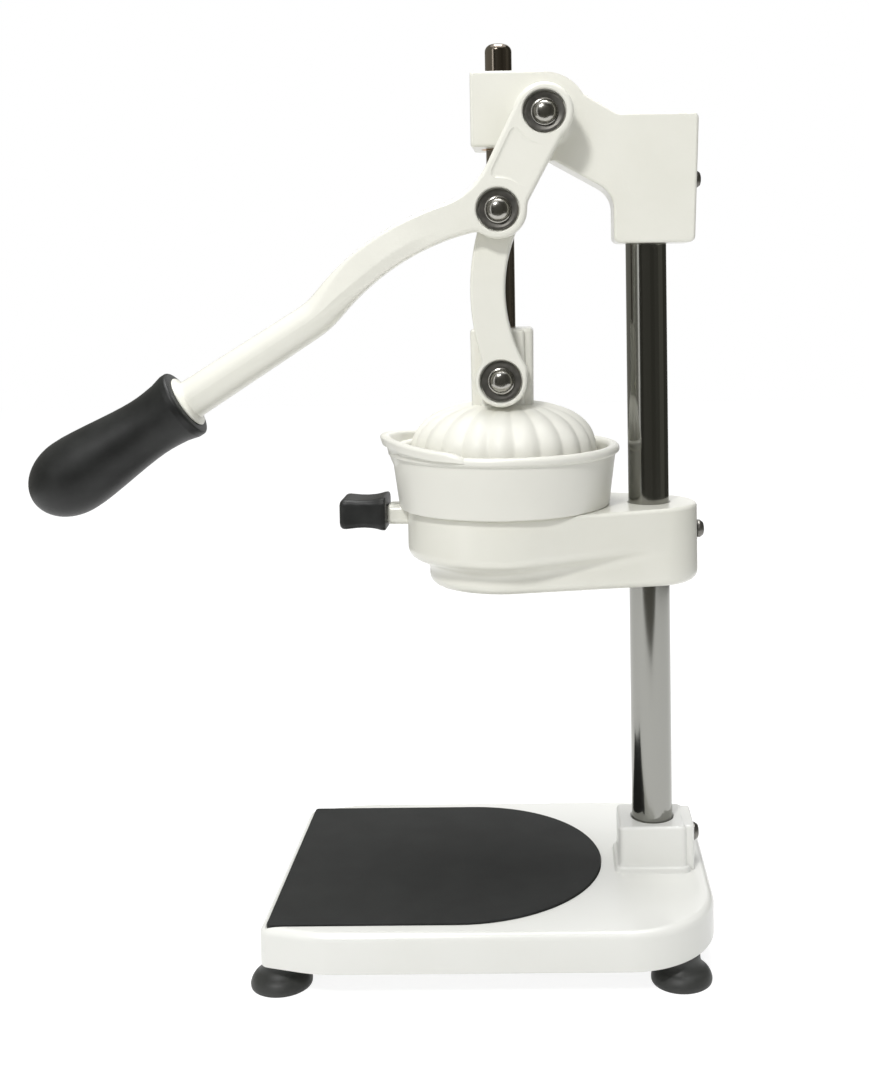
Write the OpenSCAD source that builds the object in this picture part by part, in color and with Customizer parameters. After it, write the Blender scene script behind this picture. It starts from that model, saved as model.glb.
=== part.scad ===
// Lever citrus juice press, free standing, in millimetres.
// +Z is up, the floor is z = 0, -Y is the side the user faces, and the column stands on the +X side.
// The origin is on the floor, under the middle of the overall length and width.
// Heights build up from the floor: feet, base, arm, bowl, bell, yoke, link, crank, head.

/* [Base] */
// Height of the rubber feet under the base
foot_h = 14.5; // [12:0.5:22]
// Diameter of a foot where it meets the floor
foot_d = 31; // [26:0.5:36]
// Distance from the left end of the base to the axes of the left feet
foot_end_left = 8.5; // [6:0.5:24]
// Distance from the right end of the base to the axes of the right feet
foot_end_right = 19; // [16:0.5:34]
// Distance from the long sides of the base to the axes of the feet
foot_edge = 22; // [18:0.5:32]
// Length of the base to the left of the press axis
base_left = 122.5; // [120:0.5:140]
// Length of the base to the right of the press axis
base_right = 106.5; // [104:0.5:130]
// Width of the base
base_w = 168; // [160:1:190]
// Width of the straight left end of the base
base_nose_w = 150; // [148:1:158]
// Length over which the left end widens to the full width
base_flare = 30; // [20:1:45]
// Thickness of the base, top to lower edge
base_t = 20; // [16:0.5:26]
// Wall thickness of the base casting
base_wall = 5; // [4:0.5:7]
// Corner radius of the right end of the base
base_corner = 46; // [30:1:60]
// Height of the soft edge round the top of the base
base_edge = 4; // [2:0.5:6]
// Margin between the mat and the long sides of the base
mat_side = 10; // [8:0.5:24]
// Gap between the mat's round end and the column's socket
mat_gap = 9.5; // [4:0.5:20]
// Thickness of the rubber mat
mat_t = 2.2; // [1.5:0.1:4]
// Depth of the recess that holds the mat
mat_recess = 1.2; // [0.6:0.1:2]
// Margin between the mat and the left end of the base
mat_margin = 3.5; // [2:0.5:10]

/* [Column] */
// Distance from the press axis to the column axis
col_x = 78; // [77:0.5:84]
// Outside diameter of the column tube
col_d = 22; // [20:0.5:25]
// Wall thickness of the column tube
col_wall = 3; // [2:0.5:4]
// Radial clearance round the column in its sockets
col_clear = 0.15; // [0.05:0.05:0.3]
// Height of the socket above the base
socket_h = 24.5; // [18:0.5:40]
// Length of the socket block
socket_len = 36.2; // [34:0.1:40]
// Width of the socket block
socket_w = 34; // [32:0.5:40]
// Thickness of the flange behind the socket
socket_flange = 4.3; // [3:0.1:6]
// Diameter of the screws that lock the column
lock_screw_d = 6; // [5:0.5:8]
// Diameter of the bolt in the foot of the column
column_bolt_d = 8; // [6:0.5:10]

/* [Arm and bowl] */
// Height of the arm's top face above the base
arm_rise = 197; // [180:1:260]
// Outside radius of the ring
ring_r = 52.5; // [52:0.5:54]
// Height of the ring
ring_h = 26; // [22:0.5:30]
// Outside radius of the hub under the ring
hub_r = 41; // [39:0.5:44]
// Height of the hub under the ring
hub_h = 15.5; // [10:0.5:20]
// Radius of the arm's round end at the column
arm_end_r = 26; // [22:0.5:28]
// Bore radius of the ring
ring_bore_r = 46; // [45:0.5:47]
// Bore radius of the hub
hub_bore_r = 37; // [34:0.5:37]
// Height of the step inside the ring above its lower edge
ring_step = 5.5; // [3:0.5:8]
// Length of the side tab that the cap is pushed onto
tab_len = 28; // [22:0.5:40]
// Width of the tab
tab_w = 12; // [8:0.5:16]
// Thickness of the tab
tab_t = 8; // [6:0.5:10]
// Length of the rubber cap
cap_len = 25; // [20:0.5:36]
// Width of the rubber cap
cap_w = 28; // [22:0.5:34]
// Height of the rubber cap
cap_h = 18; // [14:0.5:20]
// Distance that the bowl stands out past the ring it sits on
bowl_overhang = 4.2; // [2:0.1:6]
// Distance that the bowl's wall flares out from its seat to its rim
bowl_flare = 2.7; // [0:0.1:5]
// Distance that the rolled rim stands out past the wall
rim_overhang = 3.2; // [2:0.1:5]
// Height of the bowl above the ring
bowl_h = 32.5; // [30:0.5:36]
// Height of the rolled rim
rim_h = 5.5; // [4:0.5:8]
// Wall thickness of the bowl
bowl_wall = 3; // [2.5:0.1:3.5]
// Radial clearance between the bowl's skirt and the ring
bowl_clear = 0.3; // [0.1:0.1:0.8]
// Bore radius of the juice outlet
outlet_r = 10.5; // [8:0.5:14]
// Radius of the spout that is let into the bowl's funnel
spout_r = 22; // [18:0.5:28]
// Distance that the pouring lip's circle is set to the left
lip_shift = 6.8; // [6:0.2:10]
// Height that the lip rises above the rim
lip_rise = 3.2; // [1:0.2:5]

/* [Strainer and cone] */
// Height of the strainer seat above the ring's top
strainer_seat = 6; // [4:0.5:8]
// Thickness of the strainer plate
strainer_t = 1.5; // [1:0.1:2.5]
// Number of slots in the strainer
strainer_slots = 24; // [12:1:36]
// Width of a strainer slot
slot_w = 2; // [1:0.1:3]
// Space left for the peel between the cone and the bell's wall
peel_gap = 7.5; // [6:0.5:12]
// Gap between the cone's tip and the screw inside the bell
tip_gap = 5.5; // [3:0.5:9]
// Depth of a flute on the cone
cone_flute = 4; // [1:0.5:5]
// Wall thickness of the cone
cone_wall = 3; // [2:0.5:4]
// Number of flutes on the reamer cone
cone_flutes = 12; // [8:1:16]

/* [Bell and yoke] */
// Height of the bell's top above the ring's top
bell_rise = 55.8; // [54:0.1:60]
// Gap between the bell and the bowl's wall
bell_gap = 3.2; // [2:0.1:5]
// Height of the bell
bell_h = 41.3; // [38:0.1:43]
// Height of the straight skirt at the bell's rim
bell_skirt = 13; // [8:0.5:16]
// Wall thickness of the bell
bell_wall = 4; // [3:0.5:5]
// Number of flutes on the bell
bell_flutes = 22; // [16:1:26]
// Depth of a flute
flute_depth = 2; // [0.5:0.1:2.6]
// Radius of the flat seat on the bell's top
bell_pad_r = 16; // [14:0.5:18]
// Width of the yoke block
yoke_w = 33.5; // [32:0.5:38]
// Depth of the yoke block
yoke_depth = 28; // [24:0.5:32]
// Height of the yoke block
yoke_h = 36.7; // [34:0.1:42]
// Height of the lower link pivot above the bell
yoke_pivot_h = 12.9; // [12.6:0.1:14]
// Width of the raised pad on the front of the yoke
yoke_pad_w = 24.5; // [12:0.5:26]
// Depth of the raised pad on the front of the yoke
yoke_pad_t = 3; // [1:0.5:4]
// Diameter of the push rod
rod_d = 14.5; // [12:0.5:16]
// Height that the rod stands out of the head with the lever down
rod_out = 16.5; // [10:0.5:30]
// Depth that the rod is set into the yoke
rod_seat = 15; // [12:0.5:15]
// Radial running clearance of the rod and of every pivot
run_clear = 0.05; // [0.02:0.01:0.09]

/* [Linkage] */
// Distance between the two pivots of the link
link_len = 88.6; // [84:0.2:100]
// Distance between the head pivot and the knee pivot
crank_len = 55; // [50:0.5:58]
// Angle of the crank from straight down, with the lever down
crank_angle = 26.33; // [24:0.01:30]
// Gap between the head casting and the link
link_gap = 3.5; // [2:0.1:6]
// Thickness of the link
link_t = 11; // [10:0.5:14]
// Radius of the link's lower boss
link_boss_r = 13.5; // [13:0.5:15]
// Width of the link at its waist
link_w = 18; // [16:0.5:22]
// Distance that the link's waist bows to the left
link_bow = 6.3; // [4:0.1:8]
// Radius of the link's left edge
link_left_r = 116.5; // [110:0.5:140]
// Radius of the link's right edge
link_right_r = 79; // [74:0.5:100]
// Diameter of the pivot screws
pivot_d = 8; // [7:0.5:8]
// Diameter of the recess round a pivot screw's head
recess_d = 22.3; // [20:0.1:23]
// Diameter of a pivot screw's domed head
dome_d = 12.7; // [11:0.1:14]
// Depth of that recess
recess_depth = 4.8; // [3:0.1:6]
// Thickness of the washer in the recess
washer_t = 1.4; // [1:0.1:2]
// Height of a pivot screw's domed head
dome_rise = 4.8; // [3:0.1:6]
// Gap between a turning face and its neighbour
face_gap = 0.3; // [0.2:0.05:0.6]
// Gap between the link and the lever
lever_gap = 0.5; // [0.3:0.1:1]

/* [Lever] */
// Thickness of the lever's flat part
lever_t = 11; // [10:0.5:14]
// Radius of the lever's two pivot bosses
lever_boss_r = 15; // [14:0.5:16]
// Half width of the crank's right side at the knee
crank_knee = 11.7; // [9:0.1:14]
// Half width of the crank's right side at the head pivot
crank_head = 13.8; // [10:0.1:14]
// Depth of the panel sunk into the crank
panel_depth = 1.2; // [0.5:0.1:2]
// Border left round that panel
panel_border = 3.3; // [2:0.1:5]
// Radius of the hollow corner above the knee
knee_hollow_r = 37; // [30:0.5:50]
// Width of the curved arm
arm_w = 18.5; // [16:0.5:22]
// Centre line radius of the curved arm
arm_r = 131.85; // [125:0.5:145]
// Angle at which the curved arm leaves the knee pivot, below level
arm_lean = 6.2; // [4:0.1:10]
// Angle that the curved arm turns through
arm_sweep = 47.3; // [40:0.1:52]
// Angle of the round shaft below level
shaft_angle = 32.2; // [28:0.1:36]
// Diameter of the round shaft at the bend
shaft_d = 19; // [17:0.5:22]
// Diameter of the round shaft at the collar
shaft_end_d = 20.5; // [18:0.5:23]
// Distance from the bend to the collar
shaft_len = 80; // [60:1:110]
// Diameter of the collar in front of the grip
collar_d = 28; // [24:0.5:32]
// Length of the grip
grip_len = 94; // [80:1:120]
// Radius of the grip at its lip
grip_lip_r = 18.4; // [17:0.1:20]
// Radius of the grip at its waist
grip_waist_r = 15.9; // [14:0.1:17]
// Radius of the grip at its bulb
grip_bulb_r = 20; // [18:0.1:23]
// Length of the grip's rounded nose
nose_len = 25; // [15:0.5:30]
// Diameter of the tang inside the grip
tang_d = 12; // [8:0.5:14]
// Length of the tang
tang_len = 75; // [50:1:80]

/* [Head] */
// Width of the head casting, front to back
head_w = 36; // [32:0.5:44]
// Height of the guide block above the head pivot
guide_above = 24.4; // [20:0.2:30]
// Height of the guide block below the head pivot
guide_below = 15.4; // [12:0.2:18]
// Distance from the rod axis to the head's left face
head_left = 14.7; // [13.5:0.1:18]
// Height of the clamp block
clamp_h = 68.3; // [50:0.5:80]
// Height of the clamp block's top above the head pivot
clamp_above = 1.5; // [0:0.5:6]
// Distance from the column axis to the right face of the clamp block, at its top
clamp_right = 27.5; // [24:0.5:32]
// Draft of the clamp block's right face over its height
clamp_draft = 2.7; // [0:0.1:4]
// Distance from the column axis to the left face of the clamp block
clamp_left = 17.9; // [15:0.1:20]
// Thickness of the head above the column
column_cap = 7.5; // [5:0.5:12]
// Wall of the guide bushes
bush_wall = 2.5; // [1.5:0.5:3]
// Length of each guide bush
bush_len = 12; // [8:0.5:18]

/* [Hidden] */
$fn = 96;

cast_white = [0.90, 0.90, 0.86];
moulded_white = [0.96, 0.96, 0.93];
black_rubber = [0.16, 0.16, 0.15];
chrome = [0.72, 0.73, 0.75];
dark_chrome = [0.36, 0.32, 0.30];
bright_steel = [0.80, 0.80, 0.80];
dark_steel = [0.26, 0.26, 0.27];
bronze = [0.70, 0.55, 0.32];

eps = 0.01; // a cut runs past a face by this much
overrun = 1; // a hole's cutter runs past both faces by this much, and a joined form sinks in by it
through = 60; // a cutter that passes right through a casting is this long
fit_gap = 0.1; // gap between a fixed part and its hole
snug_gap = 0.05; // gap between a screwed or pressed part and its hole

// Heights
base_bottom = foot_h;
base_top = foot_h + base_t;
socket_top = base_top + socket_h;
arm_top = base_top + arm_rise;
ring_bottom = arm_top - ring_h;
hub_bottom = ring_bottom - hub_h;
rim_top = arm_top + bowl_h;
strainer_z = arm_top + strainer_seat;
cone_z = strainer_z + strainer_t;
bell_top = arm_top + bell_rise;
yoke_top = bell_top + yoke_h;

// Bowl, bell and cone nest from the ring outwards and inwards
bowl_seat_r = ring_r + bowl_overhang;
bowl_top_r = bowl_seat_r + bowl_flare;
rim_r = bowl_top_r + rim_overhang;
bowl_in_r = bowl_seat_r - bowl_wall;
bell_r = bowl_in_r - bell_gap;
bell_bottom = bell_top - bell_h;
dome_turn = acos(bell_pad_r / bell_r);
dome_h = (bell_h - bell_skirt) / sin(dome_turn);
bell_inner_top = bell_bottom + bell_skirt + (dome_h - bell_wall) * sin(dome_turn);
bell_washer_t = 1.2;
bell_screw_head = 2.6;
cone_r = bell_r - bell_wall - peel_gap;
cone_h = bell_inner_top - bell_washer_t - bell_screw_head - tip_gap - cone_z;

// The three pivots, as [x, z] with the lever down
yoke_pivot = [0, bell_top + yoke_pivot_h];
knee_pivot = yoke_pivot + [0, link_len];
head_pivot = knee_pivot + crank_len * [sin(crank_angle), cos(crank_angle)];

// The layers of the linkage, front to back
head_front = -head_w / 2;
yoke_front = -yoke_depth / 2 - yoke_pad_t;
link_back = head_front - link_gap;
link_front = link_back - link_t;
lever_back = link_front - lever_gap;
lever_front = lever_back - lever_t;
lever_mid = (lever_back + lever_front) / 2;

// The lever's curved arm starts on the knee pivot and ends at the bend
arm_centre = knee_pivot + arm_r * [sin(arm_lean), -cos(arm_lean)];
bend_angle = 90 + arm_lean + arm_sweep;
bend = arm_centre + arm_r * [cos(bend_angle), sin(bend_angle)];
collar_t = 2.5;
grip_start = shaft_len + collar_t;

// The step from the bend to a point s along the shaft
function along_shaft(s) = [-cos(shaft_angle), -sin(shaft_angle)] * s;

// Head casting levels
guide_top = head_pivot[1] + guide_above;
guide_bottom = head_pivot[1] - guide_below;
clamp_top = head_pivot[1] + clamp_above;
clamp_bottom = clamp_top - clamp_h;
column_top = clamp_top - column_cap;
bush_bore_r = rod_d / 2 + run_clear;
bush_r = rod_d / 2 + bush_wall;

// Column foot
socket_left = 18.9; // from the column's axis to the socket's left face
socket_face = col_x - socket_left + socket_len;
boss_lift = 1.5; // the boss under the socket ends this far above the casting's lower edge
boss_floor = 5; // floor left under the column
boss_wall = 6;
boss_bottom = base_bottom + boss_lift;
socket_floor = boss_bottom + boss_floor;
column_bore_r = col_d / 2 + col_clear;

// The press axis lies this far right of the middle of the overall length
far_left = bend[0] + along_shaft(grip_start + grip_len)[0];
press_x = -(far_left + max(base_right, col_x + clamp_right)) / 2;

// ---- helpers ----

function unit(v) = v / norm(v);

// The arc that rounds corner b, between its neighbours a and c, each [x, y, radius]
function corner_arc(a, b, c, steps = 7) =
    let (
        p = [b[0], b[1]],
        u = unit([a[0], a[1]] - p),
        v = unit([c[0], c[1]] - p),
        half = acos(u * v) / 2,
        centre = p + unit(u + v) * b[2] / sin(half),
        from = p + u * b[2] / tan(half) - centre,
        to = p + v * b[2] / tan(half) - centre,
        start = atan2(from[1], from[0]),
        raw = atan2(to[1], to[0]) - start,
        turn = raw > 180 ? raw - 360 : raw < -180 ? raw + 360 : raw
    )
    [for (i = [0:steps]) centre + b[2] * [cos(start + turn * i / steps), sin(start + turn * i / steps)]];

// A closed outline whose corners, each [x, y, radius], are rounded where the radius is not 0
function rounded(corners) =
    let (n = len(corners))
    [for (i = [0:n - 1])
        let (a = corners[(i + n - 1) % n], b = corners[i], c = corners[(i + 1) % n])
        each (b[2] > 0 ? corner_arc(a, b, c) : [[b[0], b[1]]])];

// Everything is drawn round the press axis and then set in the part's own frame
module on_press_axis() translate([press_x, 0, 0]) children();

// A flat shape drawn in x and z, from y = front back to y = back
module upright(front, back) translate([0, back, 0]) rotate([90, 0, 0]) linear_extrude(back - front) children();

// A cylinder along y, from front to back, round a pivot [x, z]
module pin_along_y(pivot, r, front, back)
    translate([pivot[0], front, pivot[1]]) rotate([-90, 0, 0]) cylinder(r = r, h = back - front);

// A cylinder along x, from x0 to x1, at height z in the middle plane
module pin_along_x(r, x0, x1, z)
    translate([x0, 0, z]) rotate([0, 90, 0]) cylinder(r = r, h = x1 - x0);

module rounded_rect(len_x, len_y, r) {
    square([len_x - 2 * r, len_y], center = true);
    square([len_x, len_y - 2 * r], center = true);
    for (sx = [-1, 1], sy = [-1, 1])
        translate([sx * (len_x / 2 - r), sy * (len_y / 2 - r)]) circle(r);
}

// Two circles and the straight sides that touch both: the second stands d along x
module tangent_band(r1, r2, d) {
    lean = acos((r1 - r2) / d);
    circle(r1);
    translate([d, 0]) circle(r2);
    polygon([
        r1 * [cos(lean), sin(lean)], [d, 0] + r2 * [cos(lean), sin(lean)],
        [d, 0] + r2 * [cos(lean), -sin(lean)], r1 * [cos(lean), -sin(lean)]]);
}

// ---- base ----

module base_outline(inset = 0) {
    side = base_w / 2 - inset;
    nose = base_nose_w / 2 - inset;
    left = -base_left + inset;
    right = base_right - inset;
    polygon(rounded([
        [left, -nose, nose_corner], [left + base_flare, -side, flare_round],
        [right, -side, base_corner - inset], [right, side, base_corner - inset],
        [left + base_flare, side, flare_round], [left, nose, nose_corner]]));
}
nose_corner = 6;
flare_round = 60;

mat_left = mat_margin - base_left;
mat_r = base_w / 2 - mat_side;
mat_centre = col_x - socket_left - mat_gap - mat_r;
mat_clear = 0.4; // gap between the mat's edge and its recess
module mat_outline(grow = 0) {
    translate([mat_centre, 0]) circle(mat_r + grow);
    translate([mat_left - grow, -mat_r - grow]) square([mat_centre - mat_left + grow, 2 * (mat_r + grow)]);
}

foot_spots = [for (side = [-1, 1], x = [foot_end_left - base_left, base_right - foot_end_right])
    [x, side * (base_w / 2 - foot_edge)]];
foot_boss_r = 8;
foot_screw_r = 2.5;
foot_screw_top = base_top - base_wall - 2;
edge_step = 0.3; // the soft edge has two slopes, and the first takes this share of its height

module base_casting() color(cast_white) on_press_axis() difference() {
    union() {
        difference() {
            translate([0, 0, base_bottom]) hull() {
                linear_extrude(base_t - base_edge) base_outline();
                linear_extrude(base_t - base_edge * edge_step) base_outline(base_edge * edge_step);
                linear_extrude(base_t) base_outline(base_edge);
            }
            translate([0, 0, base_bottom - eps])
                linear_extrude(base_t - base_wall + eps) base_outline(base_wall);
        }
        for (spot = foot_spots)
            translate([spot[0], spot[1], base_bottom]) cylinder(r = foot_boss_r, h = base_t - base_wall + eps);
        translate([col_x, 0, boss_bottom])
            cylinder(r = column_bore_r + boss_wall, h = base_top - boss_bottom - overrun);
        socket_block();
    }
    translate([0, 0, base_top - mat_recess]) linear_extrude(mat_recess + overrun) mat_outline(mat_clear);
    translate([col_x, 0, socket_floor]) cylinder(r = column_bore_r, h = socket_top);
    translate([col_x, 0, 0]) cylinder(r = column_bolt_d / 2 + fit_gap, h = socket_floor + overrun);
    pin_along_x(lock_screw_d / 2 + fit_gap, col_x, col_x + through, lock_z_socket);
    for (spot = foot_spots)
        translate([spot[0], spot[1], base_bottom - overrun])
            cylinder(r = foot_screw_r + fit_gap, h = foot_screw_top - base_bottom + overrun + 0.5);
}

// The socket is a block with a set-back flange behind it, and a short step round its foot
socket_corner = 3;
socket_step = 2; // how far the step at the foot stands out
socket_step_h = 3;
flange_inset = 2.5;
module socket_block() {
    translate([col_x - socket_left + socket_len / 2, 0, base_top - overrun]) {
        linear_extrude(socket_h + overrun) rounded_rect(socket_len, socket_w, socket_corner);
        linear_extrude(socket_step_h + overrun)
            rounded_rect(socket_len + 2 * socket_step, socket_w + 2 * socket_step, socket_corner + socket_step);
    }
    translate([socket_face - socket_corner, -socket_w / 2 + flange_inset, base_top - overrun])
        cube([socket_flange + socket_corner, socket_w - 2 * flange_inset, socket_h + overrun]);
}

module base_mat() color(black_rubber) on_press_axis()
    translate([0, 0, base_top - mat_recess]) linear_extrude(mat_t) mat_outline();

// A suction foot: a neck, a flared skirt, a hollow sole and a seat for the screw's head
foot_neck_r = foot_boss_r + 1.5;
foot_neck_h = 2.5;
foot_sole_w = 2.5; // width of the ring that touches the worktop
foot_seat_z = 9; // height of the screw head's seat
foot_pocket_r = foot_screw_r + 3.5;
module foot(spot) color(black_rubber) on_press_axis() translate([spot[0], spot[1], 0])
    rotate_extrude() polygon([
        [foot_screw_r + 2 * fit_gap, foot_h], [foot_neck_r, foot_h], [foot_neck_r, foot_h - foot_neck_h],
        [foot_neck_r + 0.8, foot_seat_z + 0.5], [foot_d / 2 - 2.4, foot_seat_z * 0.6], [foot_d / 2, 2],
        [foot_d / 2, 0], [foot_d / 2 - foot_sole_w, 0], [foot_d / 2 - 3 * foot_sole_w, foot_seat_z * 0.55],
        [foot_pocket_r, foot_seat_z * 0.65], [foot_pocket_r, foot_seat_z],
        [foot_screw_r + 2 * fit_gap, foot_seat_z]]);
module foot_front_left() foot(foot_spots[0]);
module foot_front_right() foot(foot_spots[1]);
module foot_rear_left() foot(foot_spots[2]);
module foot_rear_right() foot(foot_spots[3]);

module foot_screws() color(bright_steel) on_press_axis() for (spot = foot_spots)
    translate([spot[0], spot[1], 0]) {
        translate([0, 0, foot_seat_z - foot_head_h]) cylinder(r = foot_pocket_r - 1, h = foot_head_h);
        translate([0, 0, foot_seat_z - overrun])
            cylinder(r = foot_screw_r, h = foot_screw_top - foot_seat_z + overrun);
    }
foot_head_h = 3;

// ---- column ----

lock_z_socket = socket_top - 9;
lock_z_arm = arm_top - 15;
lock_z_head = clamp_bottom + clamp_h / 2;
plug_r = col_d / 2 - col_wall - snug_gap;
plug_h = 20;
column_washer_t = 1.6;
column_bolt_reach = 22; // the bolt's length above its head
hex_half = 0.92; // a hexagon's half width over corners, as a share of the thread's diameter
hex_head = 0.65; // a bolt head's height, as a share of the thread's diameter

module column() color(chrome) on_press_axis() translate([col_x, 0, socket_floor]) difference() {
    cylinder(r = col_d / 2, h = column_top - socket_floor);
    translate([0, 0, -overrun]) cylinder(r = col_d / 2 - col_wall, h = column_top - socket_floor + 2 * overrun);
}

module column_plug() color(bright_steel) on_press_axis() translate([col_x, 0, socket_floor]) difference() {
    cylinder(r = plug_r, h = plug_h);
    translate([0, 0, -overrun]) cylinder(r = column_bolt_d / 2 + snug_gap, h = plug_h - 2);
}

module column_washer() color(bright_steel) on_press_axis()
    translate([col_x, 0, boss_bottom - column_washer_t]) difference() {
        cylinder(r = column_bolt_d / 2 + 5, h = column_washer_t);
        translate([0, 0, -overrun]) cylinder(r = column_bolt_d / 2 + fit_gap, h = column_washer_t + 2 * overrun);
    }

module column_bolt() color(bright_steel) on_press_axis()
    translate([col_x, 0, boss_bottom - column_washer_t]) {
        translate([0, 0, -column_bolt_d * hex_head])
            cylinder(r = column_bolt_d * hex_half, h = column_bolt_d * hex_head, $fn = 6);
        translate([0, 0, -overrun]) cylinder(r = column_bolt_d / 2, h = column_bolt_reach + overrun);
    }

// A domed screw whose tip stops against the column and whose head lies on a face at x
lock_head_r = lock_screw_d / 2 + 1.8;
lock_head_t = 1.4;
lock_dome_h = 2.4;
module lock_screw(face_x, z) color(dark_steel) on_press_axis() {
    pin_along_x(lock_screw_d / 2, col_x + col_d / 2, face_x + overrun, z);
    pin_along_x(lock_head_r, face_x, face_x + lock_head_t, z);
    translate([face_x + lock_head_t, 0, z]) rotate([0, 90, 0])
        cylinder(r1 = lock_head_r, r2 = lock_head_r / 2, h = lock_dome_h);
}
module socket_screw() lock_screw(socket_face + socket_flange, lock_z_socket);
module arm_screw() lock_screw(col_x + arm_end_r, lock_z_arm);
module head_screw() lock_screw(clamp_face_mid, lock_z_head);

// ---- arm and bowl ----

module bowl_arm() color(cast_white) on_press_axis() difference() {
    union() {
        translate([0, 0, ring_bottom]) linear_extrude(ring_h) tangent_band(ring_r, arm_end_r, col_x);
        translate([0, 0, hub_bottom]) linear_extrude(hub_h + overrun) tangent_band(hub_r, arm_end_r, col_x);
        // the hollow curve between the ring's lower edge and the hub
        translate([0, 0, ring_bottom]) rotate_extrude()
            polygon(concat([[hub_r - overrun, eps], [ring_r, eps], [ring_r, 0]],
                [for (a = [0:10:90]) [ring_r - (ring_r - hub_r) * sin(a), -cove_h * (1 - cos(a))]],
                [[hub_r - overrun, -cove_h]]));
        translate([-tab_reach, -tab_w / 2, tab_z]) cube([tab_reach - ring_r + 2 * overrun, tab_w, tab_t]);
    }
    translate([0, 0, ring_bottom + ring_step]) cylinder(r = ring_bore_r, h = ring_h);
    translate([0, 0, hub_bottom - overrun]) cylinder(r = hub_bore_r, h = ring_h + hub_h);
    translate([col_x, 0, hub_bottom - overrun]) cylinder(r = column_bore_r, h = ring_h + hub_h + 2 * overrun);
    pin_along_x(lock_screw_d / 2 + fit_gap, col_x, col_x + through, lock_z_arm);
}
cove_h = 8;

tab_drop = 0.5; // the tab's top lies this far below the arm's top
tab_z = arm_top - tab_drop - tab_t;
tab_reach = ring_r + tab_len;
cap_right = tab_reach + 8 - cap_len;
cap_round = 3.5;
cap_waist = 0.9;
cap_lift = 1.2; // the cap's middle lies this far above the tab's

module cap_outline(grow = 0) rounded_rect(cap_w + 2 * grow, cap_h + 2 * grow, cap_round + grow);

// The cap is a sleeve with a closed outer end, waisted in the middle and flared at its open end
module tab_cap() color(black_rubber) on_press_axis() difference() {
    translate([-cap_right, 0, tab_z + tab_t / 2 + cap_lift]) rotate([0, -90, 0]) rotate([0, 0, 90]) {
        linear_extrude(3) cap_outline();
        linear_extrude(cap_len - 6) cap_outline(-cap_waist);
        translate([0, 0, cap_len - 8]) linear_extrude(7) cap_outline(-cap_waist / 3);
        translate([0, 0, cap_len - 2]) linear_extrude(2) cap_outline(-cap_waist * 1.5);
    }
    translate([-tab_reach - fit_gap, -tab_w / 2 - fit_gap, tab_z - fit_gap])
        cube([tab_len + 2 * fit_gap, tab_w + 2 * fit_gap, tab_t + 2 * fit_gap]);
}

// The bowl's outline, from the funnel's hole up the outside, over the rim and down the inside
rim_bead = (rim_overhang + bowl_wall) / 2;
skirt_r = ring_bore_r - bowl_clear;
seat_chamfer = 0.8;
seat_w = 5; // width of the ledge under the strainer
funnel_h = 14; // height of the funnel over the outlet's neck
funnel_top = ring_bottom + ring_step + 6;
outlet_wall = 2.5;
outlet_z = hub_bottom + 2;
neck_r = outlet_r + outlet_wall;
// Heights of the funnel's underside and inner face at a radius
function funnel_under(r) = funnel_top - funnel_h * (skirt_r - r) / (skirt_r - neck_r);
function funnel_over(r) = funnel_under(r + bowl_wall) + bowl_wall;
function bowl_profile() = concat(
    [[spout_r, funnel_under(spout_r)], [skirt_r, funnel_top], [skirt_r, arm_top], [bowl_seat_r - seat_chamfer, arm_top],
        [bowl_seat_r, arm_top + seat_chamfer], [bowl_top_r, rim_top - rim_h], [rim_r - 1, rim_top - rim_h]],
    [for (a = [0:15:180]) [rim_r - rim_bead + rim_bead * cos(a), rim_top - rim_bead + rim_bead * sin(a)]],
    [[bowl_top_r - bowl_wall, rim_top - rim_h], [bowl_in_r, strainer_z + 2],
        [bowl_in_r - seat_chamfer, strainer_z], [strainer_r - seat_w, strainer_z], [skirt_r - bowl_wall, strainer_z - seat_w],
        [skirt_r - bowl_wall, funnel_over(skirt_r - bowl_wall)], [spout_r, funnel_over(spout_r)]]);
strainer_gap = 0.3;
strainer_r = bowl_in_r - seat_chamfer - strainer_gap;

// The lip's mouth is a circle a little smaller than the rim, and its thin wall leans out
lip_r = rim_r - 2;
lip_lean = 5;
lip_wall = 2.3;

// The lip is a thin cone set off to the left, so that it fades into the rim on both sides
module pouring_lip() difference() {
    translate([-lip_shift, 0, rim_top - rim_h])
        cylinder(r1 = lip_r - lip_lean, r2 = lip_r, h = rim_h + lip_rise);
    translate([-lip_shift, 0, rim_top - rim_h - eps])
        cylinder(r1 = lip_r - lip_lean - lip_wall, r2 = lip_r - lip_wall, h = rim_h + lip_rise + 2 * eps);
    translate([0, 0, rim_top - rim_h - overrun])
        cylinder(r = bowl_top_r - bowl_wall + overrun, h = 2 * rim_h + lip_rise);
}

module bowl() color(moulded_white) on_press_axis() union() {
    rotate_extrude() polygon(bowl_profile());
    pouring_lip();
}

// The spout is a neck with a short cone that fills the hole in the bowl's funnel
module bowl_spout() color(moulded_white) on_press_axis() rotate_extrude() {
    flange_r = spout_r - snug_gap;
    polygon([[outlet_r, outlet_z], [neck_r, outlet_z], [neck_r, funnel_under(neck_r)],
        [flange_r, funnel_under(flange_r)], [flange_r, funnel_over(flange_r)], [outlet_r, funnel_over(outlet_r)]]);
}

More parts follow.
